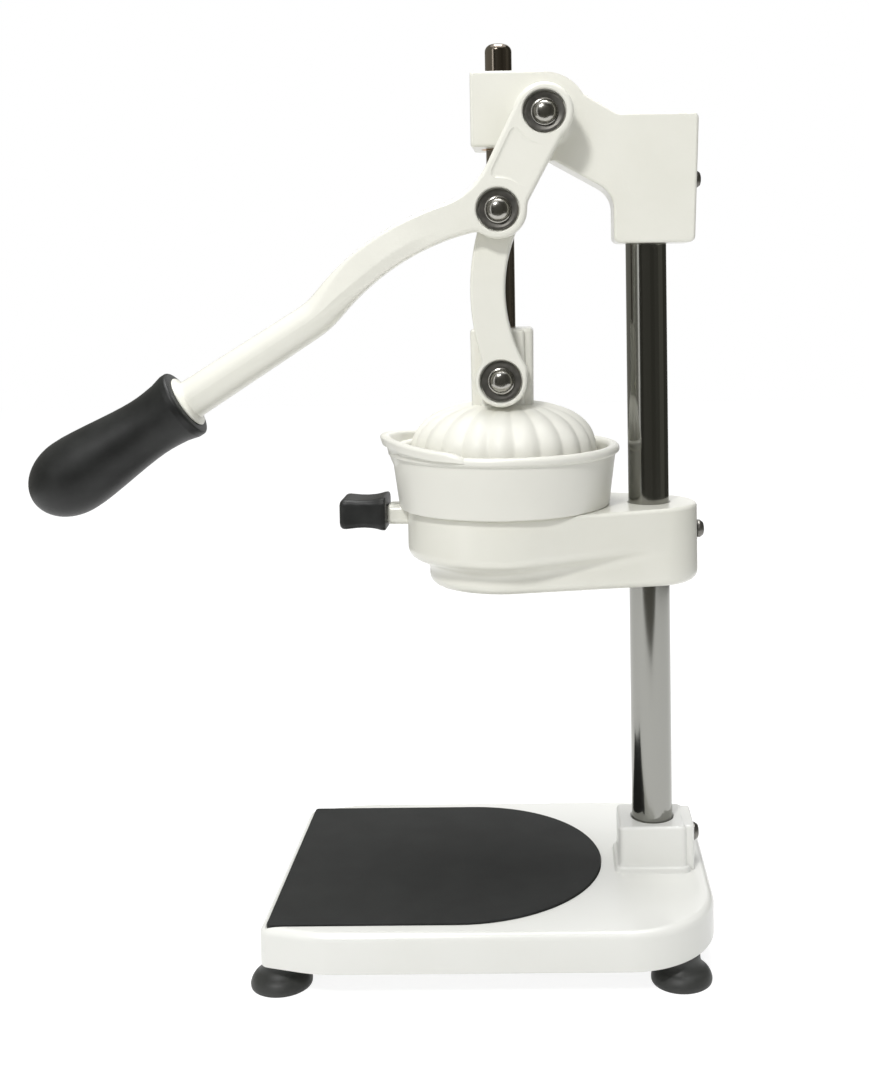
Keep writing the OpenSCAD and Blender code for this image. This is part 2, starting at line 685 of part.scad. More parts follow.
module strainer() color(moulded_white) on_press_axis() difference() {
    translate([0, 0, strainer_z]) rotate_extrude() polygon([
        [0, 0], [strainer_r, 0], [strainer_r, strainer_edge_h], [strainer_r - strainer_t, strainer_edge_h],
        [strainer_r - strainer_t, strainer_t], [0, strainer_t]]);
    for (i = [0:strainer_slots - 1]) rotate([0, 0, i * 360 / strainer_slots])
        translate([cone_r + slot_margin, -slot_w / 2, strainer_z - overrun])
            cube([strainer_r - strainer_t - cone_r - 2 * slot_margin, slot_w, strainer_t + 2 * overrun]);
    translate([0, 0, strainer_z - overrun]) cylinder(r = strainer_hole_r, h = strainer_t + 2 * overrun);
}
strainer_edge_h = 4;
strainer_hole_r = 4;
slot_margin = 1.2;

// A fluted shell: rings of outer and inner points, closed at the rim and round the top hole.
// outer and inner are lists of [radius, z] from the rim up; each lobe is a half wave round the shell.
module fluted_shell(outer, inner, lobes, depth) {
    n = lobes * per_lobe;
    rings = len(outer);
    function lobe(j) = abs(sin(180 * j / per_lobe));
    function fade(i) = sin(180 * min(1, i / (rings - 1)));
    points = concat(
        [for (i = [0:rings - 1], j = [0:n - 1])
            let (r = outer[i][0] - depth * fade(i) * (1 - lobe(j)))
            [r * cos(360 * j / n), r * sin(360 * j / n), outer[i][1]]],
        [for (i = [0:rings - 1], j = [0:n - 1])
            [inner[i][0] * cos(360 * j / n), inner[i][0] * sin(360 * j / n), inner[i][1]]]);
    inside = rings * n;
    last = rings - 1;
    faces = concat(
        [for (i = [0:last - 1], j = [0:n - 1]) each
            [[i * n + j, (i + 1) * n + j, (i + 1) * n + (j + 1) % n],
            [i * n + j, (i + 1) * n + (j + 1) % n, i * n + (j + 1) % n]]],
        [for (i = [0:last - 1], j = [0:n - 1]) each
            [[inside + i * n + j, inside + (i + 1) * n + (j + 1) % n, inside + (i + 1) * n + j],
            [inside + i * n + j, inside + i * n + (j + 1) % n, inside + (i + 1) * n + (j + 1) % n]]],
        [for (j = [0:n - 1]) each
            [[j, (j + 1) % n, inside + (j + 1) % n], [j, inside + (j + 1) % n, inside + j]]],
        [for (j = [0:n - 1]) each
            [[last * n + j, inside + last * n + (j + 1) % n, last * n + (j + 1) % n],
            [last * n + j, inside + last * n + j, inside + last * n + (j + 1) % n]]]);
    polyhedron(points, faces);
}

// The reamer cone: a pointed dome with deep flutes, open underneath
cone_steps = 12;
cone_tip_r = 0.6;
per_lobe = 6; // points across each lobe of a fluted shell

// The cone's radius and height at the share t of its height, set in by wall
function cone_point(t, wall, tip) =
    [max(tip, (cone_r - wall) * pow(1 - pow(t, 1.6), 0.75)), cone_z + (cone_h - wall) * t];

module reamer_cone() color(moulded_white) on_press_axis()
    fluted_shell([for (i = [0:cone_steps]) cone_point(i / cone_steps, 0, cone_tip_r)],
        [for (i = [0:cone_steps]) cone_point(i / cone_steps, cone_wall, cone_tip_r / 2)],
        cone_flutes, cone_flute);

// ---- bell, yoke and push rod ----

bell_lip = 0.5; // the bell's lower edge stands out this far
spigot_r = 8;
bell_hole_r = spigot_r + fit_gap;
bell_screw_r = 2.5;
dome_steps = 9;

// The dome's ellipse, set in by inset, from the skirt up to the flat seat
function dome(inset) = [for (i = [0:dome_steps]) let (a = dome_turn * i / dome_steps)
    [(bell_r - inset) * cos(a), bell_bottom + bell_skirt + (dome_h - inset) * sin(a)]];

// Skirt, dome and flat seat, set in by inset
function bell_outline(inset) = let (curve = dome(inset)) concat(
    [[bell_r + bell_lip - inset, bell_bottom]], curve, [[bell_hole_r, curve[dome_steps][1]]]);

module press_bell() color(moulded_white) on_press_axis()
    fluted_shell(bell_outline(0), bell_outline(bell_wall), bell_flutes, flute_depth);

// The yoke's underside is cut to the dome, so that its corners follow the bell down
module ram_yoke() color(cast_white) on_press_axis() difference() {
    union() {
        difference() {
            translate([0, 0, bell_top - yoke_skirt]) {
                linear_extrude(yoke_h + yoke_skirt) rounded_rect(yoke_w, yoke_depth, yoke_corner);
                translate([-yoke_pad_w / 2, yoke_front, 0])
                    cube([yoke_pad_w, yoke_pad_t + yoke_corner, yoke_h + yoke_skirt]);
            }
            translate([0, 0, fit_gap]) rotate_extrude()
                polygon(concat([[0, bell_bottom], [bell_r, bell_bottom]], dome(0), [[0, bell_top]]));
        }
        translate([0, 0, bell_inner_top + fit_gap])
            cylinder(r = spigot_r, h = bell_top - bell_inner_top + overrun);
        translate([0, 0, bell_top]) cylinder(r = bell_pad_r - overrun, h = overrun);
        pin_along_y(yoke_pivot, yoke_boss_r, link_back + face_gap, 0);
    }
    translate([0, 0, yoke_top - rod_seat]) cylinder(r = rod_d / 2 + snug_gap, h = rod_seat + overrun);
    pin_along_y(yoke_pivot, pivot_d / 2 + run_clear, -through, through);
    pin_along_x(rod_pin_r + snug_gap, -yoke_w, yoke_w, rod_pin_z);
    translate([0, 0, bell_inner_top])
        cylinder(r = bell_screw_r + snug_gap, h = bell_top + bell_screw_reach - bell_inner_top);
}
yoke_skirt = 2.5;
yoke_corner = 2.5;
yoke_boss_r = 9;
rod_pin_r = 2;
rod_pin_z = yoke_top - rod_seat / 2;
bell_screw_reach = 4.5; // the screw's hole goes this far up into the yoke

// A straight bar with a rounded top
module push_rod() color(dark_chrome) on_press_axis() difference() {
    rod_bottom = yoke_top - rod_seat;
    rod_top = guide_top + rod_out;
    round = 4.5;
    rotate_extrude() polygon(concat([[0, rod_bottom], [rod_d / 2, rod_bottom]],
        [for (a = [0:10:90]) [rod_d / 2 - round + round * cos(a), rod_top - round + round * sin(a)]],
        [[0, rod_top]]));
    pin_along_x(rod_pin_r + snug_gap, -rod_d, rod_d, rod_pin_z);
}

module rod_pin() color(bright_steel) on_press_axis()
    pin_along_x(rod_pin_r, 0.5 - yoke_w / 2, yoke_w / 2 - 0.5, rod_pin_z);

module bell_washer() color(bright_steel) on_press_axis()
    translate([0, 0, bell_inner_top - bell_washer_t]) difference() {
        cylinder(r = spigot_r + 4, h = bell_washer_t);
        translate([0, 0, -overrun]) cylinder(r = bell_screw_r + fit_gap, h = bell_washer_t + 2 * overrun);
    }

module bell_screw() color(bright_steel) on_press_axis() {
    under_washer = bell_inner_top - bell_washer_t;
    translate([0, 0, under_washer - bell_screw_head])
        cylinder(r1 = bell_screw_r + 0.7, r2 = bell_screw_r + 2.1, h = bell_screw_head);
    translate([0, 0, under_washer - overrun])
        cylinder(r = bell_screw_r, h = bell_top + bell_screw_reach - 0.5 - under_washer + overrun);
}

// ---- pivot screws ----

// A washer in a recess whose floor is at y, and a domed screw whose shank runs back to y = back
module recess_washer(pivot, floor_y) color(dark_steel) on_press_axis() difference() {
    pin_along_y(pivot, recess_d / 2 - washer_margin, floor_y - washer_t, floor_y);
    pin_along_y(pivot, pivot_d / 2 + fit_gap, floor_y - through, floor_y + through);
    translate([pivot[0], floor_y - washer_t - eps, pivot[1]]) rotate([-90, 0, 0])
        cylinder(r1 = recess_d / 2 - 3 * washer_margin, r2 = dome_d / 2 + overrun, h = washer_t / 2);
}
module domed_bolt(pivot, seat_y, back) color(bright_steel) on_press_axis() {
    pin_along_y(pivot, pivot_d / 2, seat_y - overrun, back);
    translate([pivot[0], seat_y, pivot[1]]) rotate([90, 0, 0]) rotate_extrude() polygon(concat(
        [[0, 0], [dome_d / 2, 0]],
        [for (a = [0:10:80]) [dome_d / 2 * cos(a), dome_edge + (dome_rise - dome_edge) * sin(a)]],
        [[0, dome_rise]]));
}
washer_margin = 0.6;
dome_edge = 1.2; // the straight edge under a domed head
nut_h = 0.75; // a nut's height, as a share of its thread's diameter
bolt_tail = 8; // a pivot screw's end stands this far past the casting, through its nut

head_seat_y = lever_front + recess_depth - face_gap;
module head_pivot_washer() recess_washer(head_pivot, head_seat_y);
module head_pivot_bolt() domed_bolt(head_pivot, head_seat_y - washer_t, bolt_tail - head_front);
knee_seat_y = lever_front + recess_depth;
module knee_washer() recess_washer(knee_pivot, knee_seat_y);
module knee_bolt() domed_bolt(knee_pivot, knee_seat_y - washer_t, lever_back);
yoke_seat_y = link_front + recess_depth - face_gap;
module yoke_washer() recess_washer(yoke_pivot, yoke_seat_y);
module yoke_bolt() domed_bolt(yoke_pivot, yoke_seat_y - washer_t, yoke_depth / 2 + bolt_tail);

module hex_nut(pivot, face_y) color(bright_steel) on_press_axis()
    translate([pivot[0], face_y, pivot[1]]) rotate([-90, 0, 0]) difference() {
        cylinder(r = pivot_d * hex_half, h = pivot_d * nut_h, $fn = 6);
        translate([0, 0, -overrun]) cylinder(r = pivot_d / 2 + snug_gap, h = pivot_d + 2 * overrun);
    }
module head_pivot_nut() hex_nut(head_pivot, -head_front);
module yoke_nut() hex_nut(yoke_pivot, yoke_depth / 2);

// A flanged nut let into the back of the link: its sleeve fills the link's bore up to the knee's front face
module knee_nut() color(bright_steel) on_press_axis() {
    pin_along_y(knee_pivot, pivot_d / 2, link_front, link_back - overrun);
    pin_along_y(knee_pivot, nut_flange_r, link_back - nut_flange_t, link_back - 0.5);
}
nut_flange_r = pivot_d / 2 + 3;
nut_flange_t = 4;

// ---- head ----

// The outline runs round from the guide block's lower left corner
clamp_face_mid = col_x + clamp_right - clamp_draft / 2;
guide_corner = 1.5;
clamp_corner = 3;
top_bend = 6;
web_top_x = col_x - 15.5; // where the sloping top edge meets the clamp block
web_foot_z = clamp_top - 42; // where the sloping lower edge meets the clamp block
web_bend = 14;
module head_outline() polygon(rounded([
    [-head_left, guide_bottom, guide_corner], [-head_left, guide_top, guide_corner],
    [head_pivot[0], guide_top, top_bend], [web_top_x, clamp_top, top_bend - 1],
    [col_x + clamp_right, clamp_top, clamp_corner],
    [col_x + clamp_right - clamp_draft, clamp_bottom, clamp_corner],
    [col_x - clamp_left, clamp_bottom, clamp_corner], [col_x - clamp_left, web_foot_z, web_bend],
    [head_pivot[0] - lever_boss_r / 2 - 1.3, guide_bottom, top_bend]]));

module head() color(cast_white) on_press_axis() difference() {
    union() {
        upright(head_front, -head_front) head_outline();
        pin_along_y(head_pivot, head_boss_r, lever_back + face_gap, head_front + overrun);
    }
    translate([0, 0, guide_bottom - overrun])
        cylinder(r = bush_r + snug_gap, h = guide_above + guide_below + 2 * overrun);
    translate([col_x, 0, clamp_bottom - overrun])
        cylinder(r = column_bore_r, h = clamp_h - column_cap + overrun);
    pin_along_y(head_pivot, pivot_d / 2 + snug_gap, -through, through);
    pin_along_x(lock_screw_d / 2 + fit_gap, col_x, col_x + through, lock_z_head);
    pin_along_x(lock_head_r + 0.6, clamp_face_mid, col_x + through, lock_z_head);
}
head_boss_r = 13;

module guide_bush(z) color(bronze) on_press_axis() translate([0, 0, z]) difference() {
    cylinder(r = bush_r, h = bush_len);
    translate([0, 0, -overrun]) cylinder(r = bush_bore_r, h = bush_len + 2 * overrun);
}
module guide_bush_upper() guide_bush(guide_top - bush_len);
module guide_bush_lower() guide_bush(guide_bottom);

// ---- link ----

// The link's sides are two arcs that bow to the left, joined to a boss at each end
module link_outline() {
    waist_z = (yoke_pivot[1] + knee_pivot[1]) / 2 + link_waist_up;
    left_x = -link_bow - link_w / 2;
    right_x = link_w / 2 - link_bow;
    translate([0, yoke_pivot[1]]) circle(link_boss_r);
    translate([0, knee_pivot[1]]) circle(link_boss_r);
    intersection() {
        translate([left_x + link_left_r, waist_z]) circle(link_left_r, $fn = 240);
        difference() {
            translate([-through, yoke_pivot[1]]) square([through + link_boss_r - 1.5, link_len]);
            translate([right_x + link_right_r, waist_z]) circle(link_right_r, $fn = 240);
        }
    }
}
link_waist_up = 2.6; // the waist lies this far above the middle of the link

module link() color(cast_white) on_press_axis() difference() {
    upright(link_front, link_back) link_outline();
    pin_along_y(yoke_pivot, recess_d / 2, link_front - overrun, link_front + recess_depth);
    pin_along_y(yoke_pivot, pivot_d / 2 + run_clear, -through, 0);
    pin_along_y(knee_pivot, pivot_d / 2 + run_clear, -through, 0);
    pin_along_y(knee_pivot, nut_flange_r + fit_gap, link_back - nut_flange_t - fit_gap, 0);
}

// ---- lever ----

// The band between the two pivots, less a border: the full boss radius on its left, narrower on its right
crank_along = unit(knee_pivot - head_pivot);
crank_left = [crank_along[1], -crank_along[0]];
module crank_band(border = 0) polygon([
    head_pivot + crank_left * (lever_boss_r - border), knee_pivot + crank_left * (lever_boss_r - border),
    knee_pivot - crank_left * (crank_knee - border), head_pivot - crank_left * (crank_head - border)]);

module crank_outline() {
    translate(head_pivot) circle(lever_boss_r);
    translate(knee_pivot) circle(lever_boss_r);
    crank_band();
}

module curved_arm_outline(grow = 0) intersection() {
    translate(arm_centre) difference() {
        circle(arm_r + arm_w / 2 + grow, $fn = 240);
        circle(arm_r - arm_w / 2 - grow, $fn = 240);
    }
    polygon([arm_centre, for (a = [90 + arm_lean, bend_angle - arm_sweep / 2, bend_angle])
        arm_centre + 2 * arm_r * [cos(a), sin(a)]]);
}

// The hollow corner above the knee: a triangle on the crank and the arm, less a circle that touches both.
// The circle's centre lies knee_hollow_r outside the crank's left edge and outside the arm's upper edge.
hollow_x = lever_boss_r + knee_hollow_r; // across the crank from its centre line
function crank_point(down, across) = head_pivot + crank_along * down + crank_left * across;
function arm_gap(down) = norm(crank_point(down, hollow_x) - arm_centre) - (arm_r + arm_w / 2 + knee_hollow_r);
// Halving finds how far down the crank the circle's centre lies
function hollow_down(low, high, turns = 20) = let (mid = (low + high) / 2)
    turns == 0 ? mid : arm_gap(mid) > 0 ? hollow_down(mid, high, turns - 1) : hollow_down(low, mid, turns - 1);
hollow_at = hollow_down(-crank_len, crank_len);
hollow_centre = crank_point(hollow_at, hollow_x);

module knee_corner() difference() {
    polygon([knee_pivot, crank_point(hollow_at, 0), crank_point(hollow_at, lever_boss_r), hollow_centre,
        hollow_centre + knee_hollow_r * unit(arm_centre - hollow_centre),
        hollow_centre + (knee_hollow_r + arm_w) * unit(arm_centre - hollow_centre)]);
    translate(hollow_centre) circle(knee_hollow_r);
}

module lever() color(cast_white) on_press_axis() difference() {
    union() {
        upright(lever_front, lever_back) {
            crank_outline();
            curved_arm_outline();
            knee_corner();
            translate(bend) circle(arm_w / 2);
        }
        translate([bend[0], lever_mid, bend[1]]) {
            sphere(r = shaft_d / 2);
            rotate([0, -90 - shaft_angle, 0]) {
                cylinder(r1 = shaft_d / 2, r2 = shaft_end_d / 2, h = shaft_len);
                translate([0, 0, shaft_len])
                    cylinder(r1 = shaft_end_d / 2, r2 = collar_d / 2, h = collar_t / 2);
                translate([0, 0, shaft_len + collar_t / 2]) cylinder(r = collar_d / 2, h = collar_t / 2);
                translate([0, 0, shaft_len]) cylinder(r = tang_d / 2, h = tang_len + collar_t);
            }
        }
    }
    // a shallow panel between the two bosses
    upright(lever_front - overrun, lever_front + panel_depth) difference() {
        crank_band(panel_border);
        translate(head_pivot) circle(lever_boss_r);
        translate(knee_pivot) circle(lever_boss_r);
    }
    for (pivot = [head_pivot, knee_pivot]) {
        pin_along_y(pivot, recess_d / 2, lever_front - overrun, lever_front + recess_depth);
        pin_along_y(pivot, pivot_d / 2 + run_clear, -through, 0);
    }
}

// Smooth step from 0 to 1 between a and b
function ease(a, b, s) = let (t = min(1, max(0, (s - a) / (b - a)))) t * t * (3 - 2 * t);

// The grip's radius: from lip to waist to bulb, then an elliptical nose
lip_end = 3;
waist_start = 20;
waist_end = 26;
nose_at = grip_len - nose_len;
lip_edge = 1.5;
function grip_r(s) = s < nose_at
    ? grip_lip_r + (grip_waist_r - grip_lip_r) * ease(lip_end, waist_start, s)
        + (grip_bulb_r - grip_waist_r) * ease(waist_end, nose_at, s)
    : grip_bulb_r * sqrt(max(0, 1 - pow((s - nose_at) / nose_len, 2)));

module lever_grip() color(black_rubber) on_press_axis()
    translate([bend[0], lever_mid, bend[1]]) rotate([0, -90 - shaft_angle, 0]) translate([0, 0, grip_start])
        difference() {
            rotate_extrude() polygon(concat([[0, 0], [grip_lip_r - lip_edge, 0]],
                [for (i = [0:16]) let (s = lip_edge + (nose_at - lip_edge) * i / 16) [grip_r(s), s]],
                [for (a = [9:9:81]) let (s = nose_at + nose_len * sin(a)) [grip_r(s), s]],
                [[0, grip_len]]));
            translate([0, 0, -overrun]) cylinder(r = tang_d / 2 + fit_gap, h = tang_len + 2 * overrun);
        }

// ---- one line per piece ----
base_casting();
base_mat();
foot_front_left();
foot_front_right();
foot_rear_left();
foot_rear_right();
foot_screws();
column();
column_plug();
column_bolt();
column_washer();
socket_screw();
bowl_arm();
arm_screw();
tab_cap();
bowl();
bowl_spout();
strainer();
reamer_cone();
head();
head_screw();
guide_bush_upper();
guide_bush_lower();
head_pivot_bolt();
head_pivot_washer();
head_pivot_nut();
lever();
lever_grip();
knee_bolt();
knee_washer();
link();
knee_nut();
push_rod();
ram_yoke();
rod_pin();
press_bell();
bell_screw();
bell_washer();
yoke_bolt();
yoke_washer();
yoke_nut();
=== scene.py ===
# %% [markdown]
# # A lever citrus juice press
# A heavy casting stands on four rubber feet. A chromed column carries an arm with the juice bowl,
# and a head with a hinged lever. The lever pushes a rod and a fluted bell down over half a fruit.
# This lesson dresses the press: the CAD model gives every place and every joint, and each cell
# makes one piece with a softer, fuller form and a finish. Start by loading the model as a frame.

# %% Load the frame
import math

import bpy
import numpy as np
from mathutils import Matrix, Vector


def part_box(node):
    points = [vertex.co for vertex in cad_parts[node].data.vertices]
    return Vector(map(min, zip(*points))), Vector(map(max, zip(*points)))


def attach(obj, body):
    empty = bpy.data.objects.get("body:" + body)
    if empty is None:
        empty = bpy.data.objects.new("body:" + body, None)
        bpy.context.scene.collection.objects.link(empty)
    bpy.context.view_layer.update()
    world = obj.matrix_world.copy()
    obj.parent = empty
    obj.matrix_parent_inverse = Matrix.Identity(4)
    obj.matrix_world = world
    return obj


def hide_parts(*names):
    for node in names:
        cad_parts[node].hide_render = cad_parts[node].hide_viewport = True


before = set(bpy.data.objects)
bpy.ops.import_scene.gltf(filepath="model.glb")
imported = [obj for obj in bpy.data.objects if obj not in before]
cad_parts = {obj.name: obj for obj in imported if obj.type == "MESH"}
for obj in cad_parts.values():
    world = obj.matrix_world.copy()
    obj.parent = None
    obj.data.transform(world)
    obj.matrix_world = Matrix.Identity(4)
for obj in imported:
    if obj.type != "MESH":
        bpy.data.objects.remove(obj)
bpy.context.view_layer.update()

# %% [markdown]
# ## Measures
# A maker draws such a press round the axis of its push rod, in millimetres. The same is done here:
# x and y are measured from that axis and z from the floor. One function, dress, later turns
# millimetres into Blender's metres and moves each piece to the rod's place in the frame.

# %% The press axis, the pivots and the main places
MM = 0.001
rod_low, rod_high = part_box("push_rod")
PRESS_AXIS = np.array([(rod_low[0] + rod_high[0]) / 2 / MM, 0, 0])
UP, TO_USER, TO_BACK, TO_COLUMN = (0, 0, 1), (0, -1, 0), (0, 1, 0), (1, 0, 0)
BASE_TOP, HUB_BOTTOM, RING_BOTTOM, ARM_TOP = 34.5, 190.0, 205.5, 231.5
RIM_TOP, BELL_BOTTOM, DOME_FOOT, YOKE_TOP = 264.0, 246.0, 259, 327.0
COLUMN_X, COLUMN_R, COLUMN_BORE, COLUMN_FOOT, COLUMN_TOP = 78.0, 11.0, 11.15, 21, 432.1
YOKE_PIVOT, KNEE_PIVOT, HEAD_PIVOT = np.array([[0, 300.2], [0, 388.8], [24.395, 438.094]])
YOKE_Z, KNEE_Z = YOKE_PIVOT[1], KNEE_PIVOT[1]
LINK_FRONT, LEVER_BACK, LEVER_FRONT = -32.5, -33.0, -44.0
SCREW_BORE, LOCK_BORE, TAB_Z = 4.05, 3.1, 227
COLUMN_AXIS = (COLUMN_X, 0, 0)
SOCKET_LOCK, ARM_LOCK, HEAD_LOCK = 50, 216.5, 405.4
print("press axis at x =", round(PRESS_AXIS[0], 2), "mm")

# %% [markdown]
# ## Lines
# Every form here starts as a line: the outline of a casting seen flat, or the profile of a turned
# part. Corners are rounded by arcs, as a pattern maker would round them, and a long line is then
# spaced evenly, so that the mesh has even faces and a bend can be softened along its length.

# %% Outlines and profiles
def on_circle(centre, radius, t):
    """Centre plus radius times (cos t, sin t), for each turn t in radians."""
    return np.asarray(centre) + radius * np.stack([np.cos(t), np.sin(t)], 1)


def arc(centre, radius, start, end, spacing=1.2):
    """The circle's points from start to end, in degrees, about spacing apart."""
    count = max(3, int(abs(math.radians(end - start)) * radius / spacing) + 2)
    return on_circle(centre, radius, np.radians(np.linspace(start, end, count)))


def heading(degrees):
    """The direction (cos t, sin t) of one angle t."""
    return np.array([math.cos(math.radians(degrees)), math.sin(math.radians(degrees))])


def rounded(corners, closed=True, turn_step=8.0):
    """A line whose corners [x, y, radius] become arcs. An arc's centre is on the corner's
    bisector, radius / sin(half the corner's angle) away from it."""
    corners = np.asarray(corners, float)
    parts = []
    for k, (x, y, radius) in enumerate(corners):
        p = np.array([x, y])
        if radius <= 0 or (not closed and k in (0, len(corners) - 1)):
            parts.append([p])
            continue
        u = corners[k - 1][:2] - p
        v = corners[(k + 1) % len(corners)][:2] - p
        u, v = u / np.linalg.norm(u), v / np.linalg.norm(v)
        half = math.acos(np.clip(u @ v, -1, 1)) / 2
        centre = p + (u + v) / np.linalg.norm(u + v) * radius / math.sin(half)
        a, b = [p + side * radius / math.tan(half) - centre for side in (u, v)]
        start = math.atan2(a[1], a[0])
        turn = (math.atan2(b[1], b[0]) - start + math.pi) % (2 * math.pi) - math.pi
        count = int(abs(math.degrees(turn)) / turn_step) + 3
        parts.append(on_circle(centre, radius, start + turn * np.linspace(0, 1, count)))
    return np.concatenate(parts)


def run_length(line):
    """How far along a line each point lies: the running sum of the lengths of its steps."""
    return np.concatenate([[0], np.cumsum(np.linalg.norm(np.diff(line, axis=0), axis=1))])


def at_run(line, run, at):
    """The points of a line that lie at given distances along it."""
    return np.stack([np.interp(at, run, line[:, k]) for k in (0, 1)], 1)


def even(line, spacing, soft=0.0, closed=True):
    """The line with points at even steps. With soft, its points are first averaged with their
    neighbours by a bell curve that many millimetres wide, which rounds every corner."""
    line = np.asarray(line, float)
    if closed:
        line = np.concatenate([line, line[:1]])
    run = run_length(line)
    if soft:
        per_width, reach = 6, 24
        count = int(run[-1] / (soft / per_width))
        fine = at_run(line, run, np.linspace(0, run[-1], count + 1))
        weight = np.exp(-0.5 * (np.arange(-reach, reach + 1) / per_width) ** 2)
        weight /= weight.sum()
        before, after = fine[-reach - 1:-1], fine[1:reach + 1]
        if not closed:
            before, after = 2 * fine[0] - after[::-1], 2 * fine[-1] - before[::-1]
        padded = np.concatenate([before, fine, after])
        line = np.stack([np.convolve(padded[:, k], weight, "valid") for k in (0, 1)], 1)
        run = run_length(line)
    out = at_run(line, run, np.linspace(0, run[-1], max(3, round(run[-1] / spacing)) + 1))
    return out[:-1] if closed else out


def box_line(low, high, radii, spacing):
    """The outline of a block seen flat, between its corners low and high. radii are the
    roundings of the four corners, anticlockwise from low, or one number for all."""
    x, y = [low[0], high[0], high[0], low[0]], [low[1], low[1], high[1], high[1]]
    return even(rounded(np.column_stack([x, y, np.broadcast_to(radii, 4)])), spacing)


def quarter(edge, top, count):
    """The profile of a soft top edge: a quarter circle, in by edge * (1 - cos t)."""
    return [[edge * (1 - math.cos(t)), top - edge + edge * math.sin(t)]
            for t in np.radians(np.linspace(0, 90, count))]


def inwards(line, closed=True):
    """For each point of a line that runs anticlockwise, the step that moves both its sides in by
    one: the sum of the two sides' normals, divided by one plus the cosine between them."""
    after = np.roll(line, -1, 0) - line
    if not closed:
        after[-1] = after[-2]
    before = np.roll(after, 1, 0)
    if not closed:
        before[0] = after[0]
    n1, n2 = [np.stack([-side[:, 1], side[:, 0]], 1) / np.linalg.norm(side, axis=1)[:, None]
              for side in (before, after)]
    return (n1 + n2) / (1 + (n1 * n2).sum(1))[:, None]


print("a square of 10 with even corners of 2 has", len(box_line((0, 0), (10, 10), 2, 1)), "points")

# %% [markdown]
# ## Skins and turned forms
# Two kinds of surface make almost every piece. A skin carries a profile round an outline: row k is
# the outline moved in by one amount and lifted by another, so a casting's flat sides, soft edges
# and hollow underside are one grid. A turned form carries a profile round an axis, as a lathe does.
# Booleans then join castings and cut bores, because a real bore is drilled after casting too.

# %% Grids, skins and turned forms
def grid_faces(rows, cols, wrap_rows=False, wrap_cols=True):
    """Quads between neighbouring rows and columns of a grid numbered row by row."""
    i, j = np.meshgrid(np.arange(rows - (not wrap_rows)), np.arange(cols - (not wrap_cols)),
                       indexing="ij")
    i2, j2 = (i + 1) % rows, (j + 1) % cols
    quads = [i * cols + j, i * cols + j2, i2 * cols + j2, i2 * cols + j]
    return np.stack(quads, -1).reshape(-1, 4).tolist()


def capped(rows, cols):
    """The same for rows that close on themselves, with a flat face over the first and the last."""
    last = list(range((rows - 1) * cols, rows * cols))
    return grid_faces(rows, cols) + [list(range(cols))[::-1], last]


def skin(outline, profile, upright=False):
    """Point (k, j) is outline point j moved in by profile[k][0], at height profile[k][1]. The first
    and last rows are closed by flat faces. Upright, the outline is x and z and the height is -y."""
    profile = np.asarray(profile, float)
    x, y = np.moveaxis(outline[None] + inwards(outline)[None] * profile[:, 0, None, None], -1, 0)
    height = np.broadcast_to(profile[:, 1, None], x.shape)
    points = np.stack([x, -height, y] if upright else [x, y, height], -1)
    return points.reshape(-1, 3), capped(*x.shape)


def soft_block(low, high, edge, steps=5):
    """The profile of a block from low to high whose two edges are quarter circles."""
    t = np.radians(np.linspace(0, 90, steps + 1))
    inset, height = edge * (1 - np.sin(t)), low + edge * (1 - np.cos(t))
    upper = np.stack([inset[::-1], high + low - height[::-1]], 1)
    return np.concatenate([np.stack([inset, height], 1), upper])


def axes(along):
    """Two directions square to an axis, so that across, up and along are right-handed."""
    along = np.asarray(along, float) / np.linalg.norm(along)
    across = np.cross(UP, along) if abs(along[2]) < 0.9 else np.array([1.0, 0, 0])
    across = across / np.linalg.norm(across)
    return across, np.cross(along, across), along


ON_AXIS = 1e-6  # a profile point closer to the axis than this becomes a single point


def turned(profile, at=(0, 0, 0), along=UP, around=96, ring=False):
    """Point (k, j) is the foot of the axis plus profile[k][0] times the direction at turn j, plus
    profile[k][1] along the axis. A ring's profile closes on itself; otherwise its two ends are
    closed, by a fan of triangles where they lie on the axis and by a flat face where they don't."""
    profile = np.asarray(profile, float)
    across, up, along = axes(along)
    t = np.linspace(0, 2 * np.pi, around, endpoint=False)
    circle = np.cos(t)[:, None] * across + np.sin(t)[:, None] * up
    body = profile[profile[:, 0] > ON_AXIS]
    points = np.asarray(at) + body[:, 0, None, None] * circle + body[:, 1, None, None] * along
    points, rows = points.reshape(-1, 3), len(body)
    faces = grid_faces(rows, around, wrap_rows=ring)
    if not ring:
        for end, row in ((0, 0), (-1, rows - 1)):
            loop = list(range(row * around, (row + 1) * around))
            if profile[end][0] > ON_AXIS:
                faces.append(loop[::-1] if end == 0 else loop)
                continue
            points = np.concatenate([points, [np.asarray(at) + profile[end][1] * along]])
            pole = len(points) - 1
            pairs = zip(loop, loop[1:] + loop[:1])
            faces += [[b, a, pole] if end == 0 else [a, b, pole] for a, b in pairs]
    return points, faces


def cylinder(radius, low, high, at=(0, 0, 0), along=UP, around=96):
    """A plain cylinder from low to high along its axis, to be added or cut away."""
    return turned([[0, low], [radius, low], [radius, high], [0, high]], at, along, around)


def pivot_bore(pivot, front, back, radius=SCREW_BORE):
    """A pivot screw's bore, between two places in y."""
    return cylinder(radius, front, back, (pivot[0], 0, pivot[1]), TO_BACK, 48)


def together(*shells):
    """Several shells as one, each with its own faces."""
    points, faces, first = [], [], 0
    for shell_points, shell_faces in shells:
        points.append(shell_points)
        faces += [[first + k for k in face] for face in shell_faces]
        first += len(shell_points)
    return np.concatenate(points), faces


def put(name, data):
    """An object with that mesh, lamp or camera, placed in the scene."""
    made = bpy.data.objects.new(name, data)
    bpy.context.scene.collection.objects.link(made)
    return made


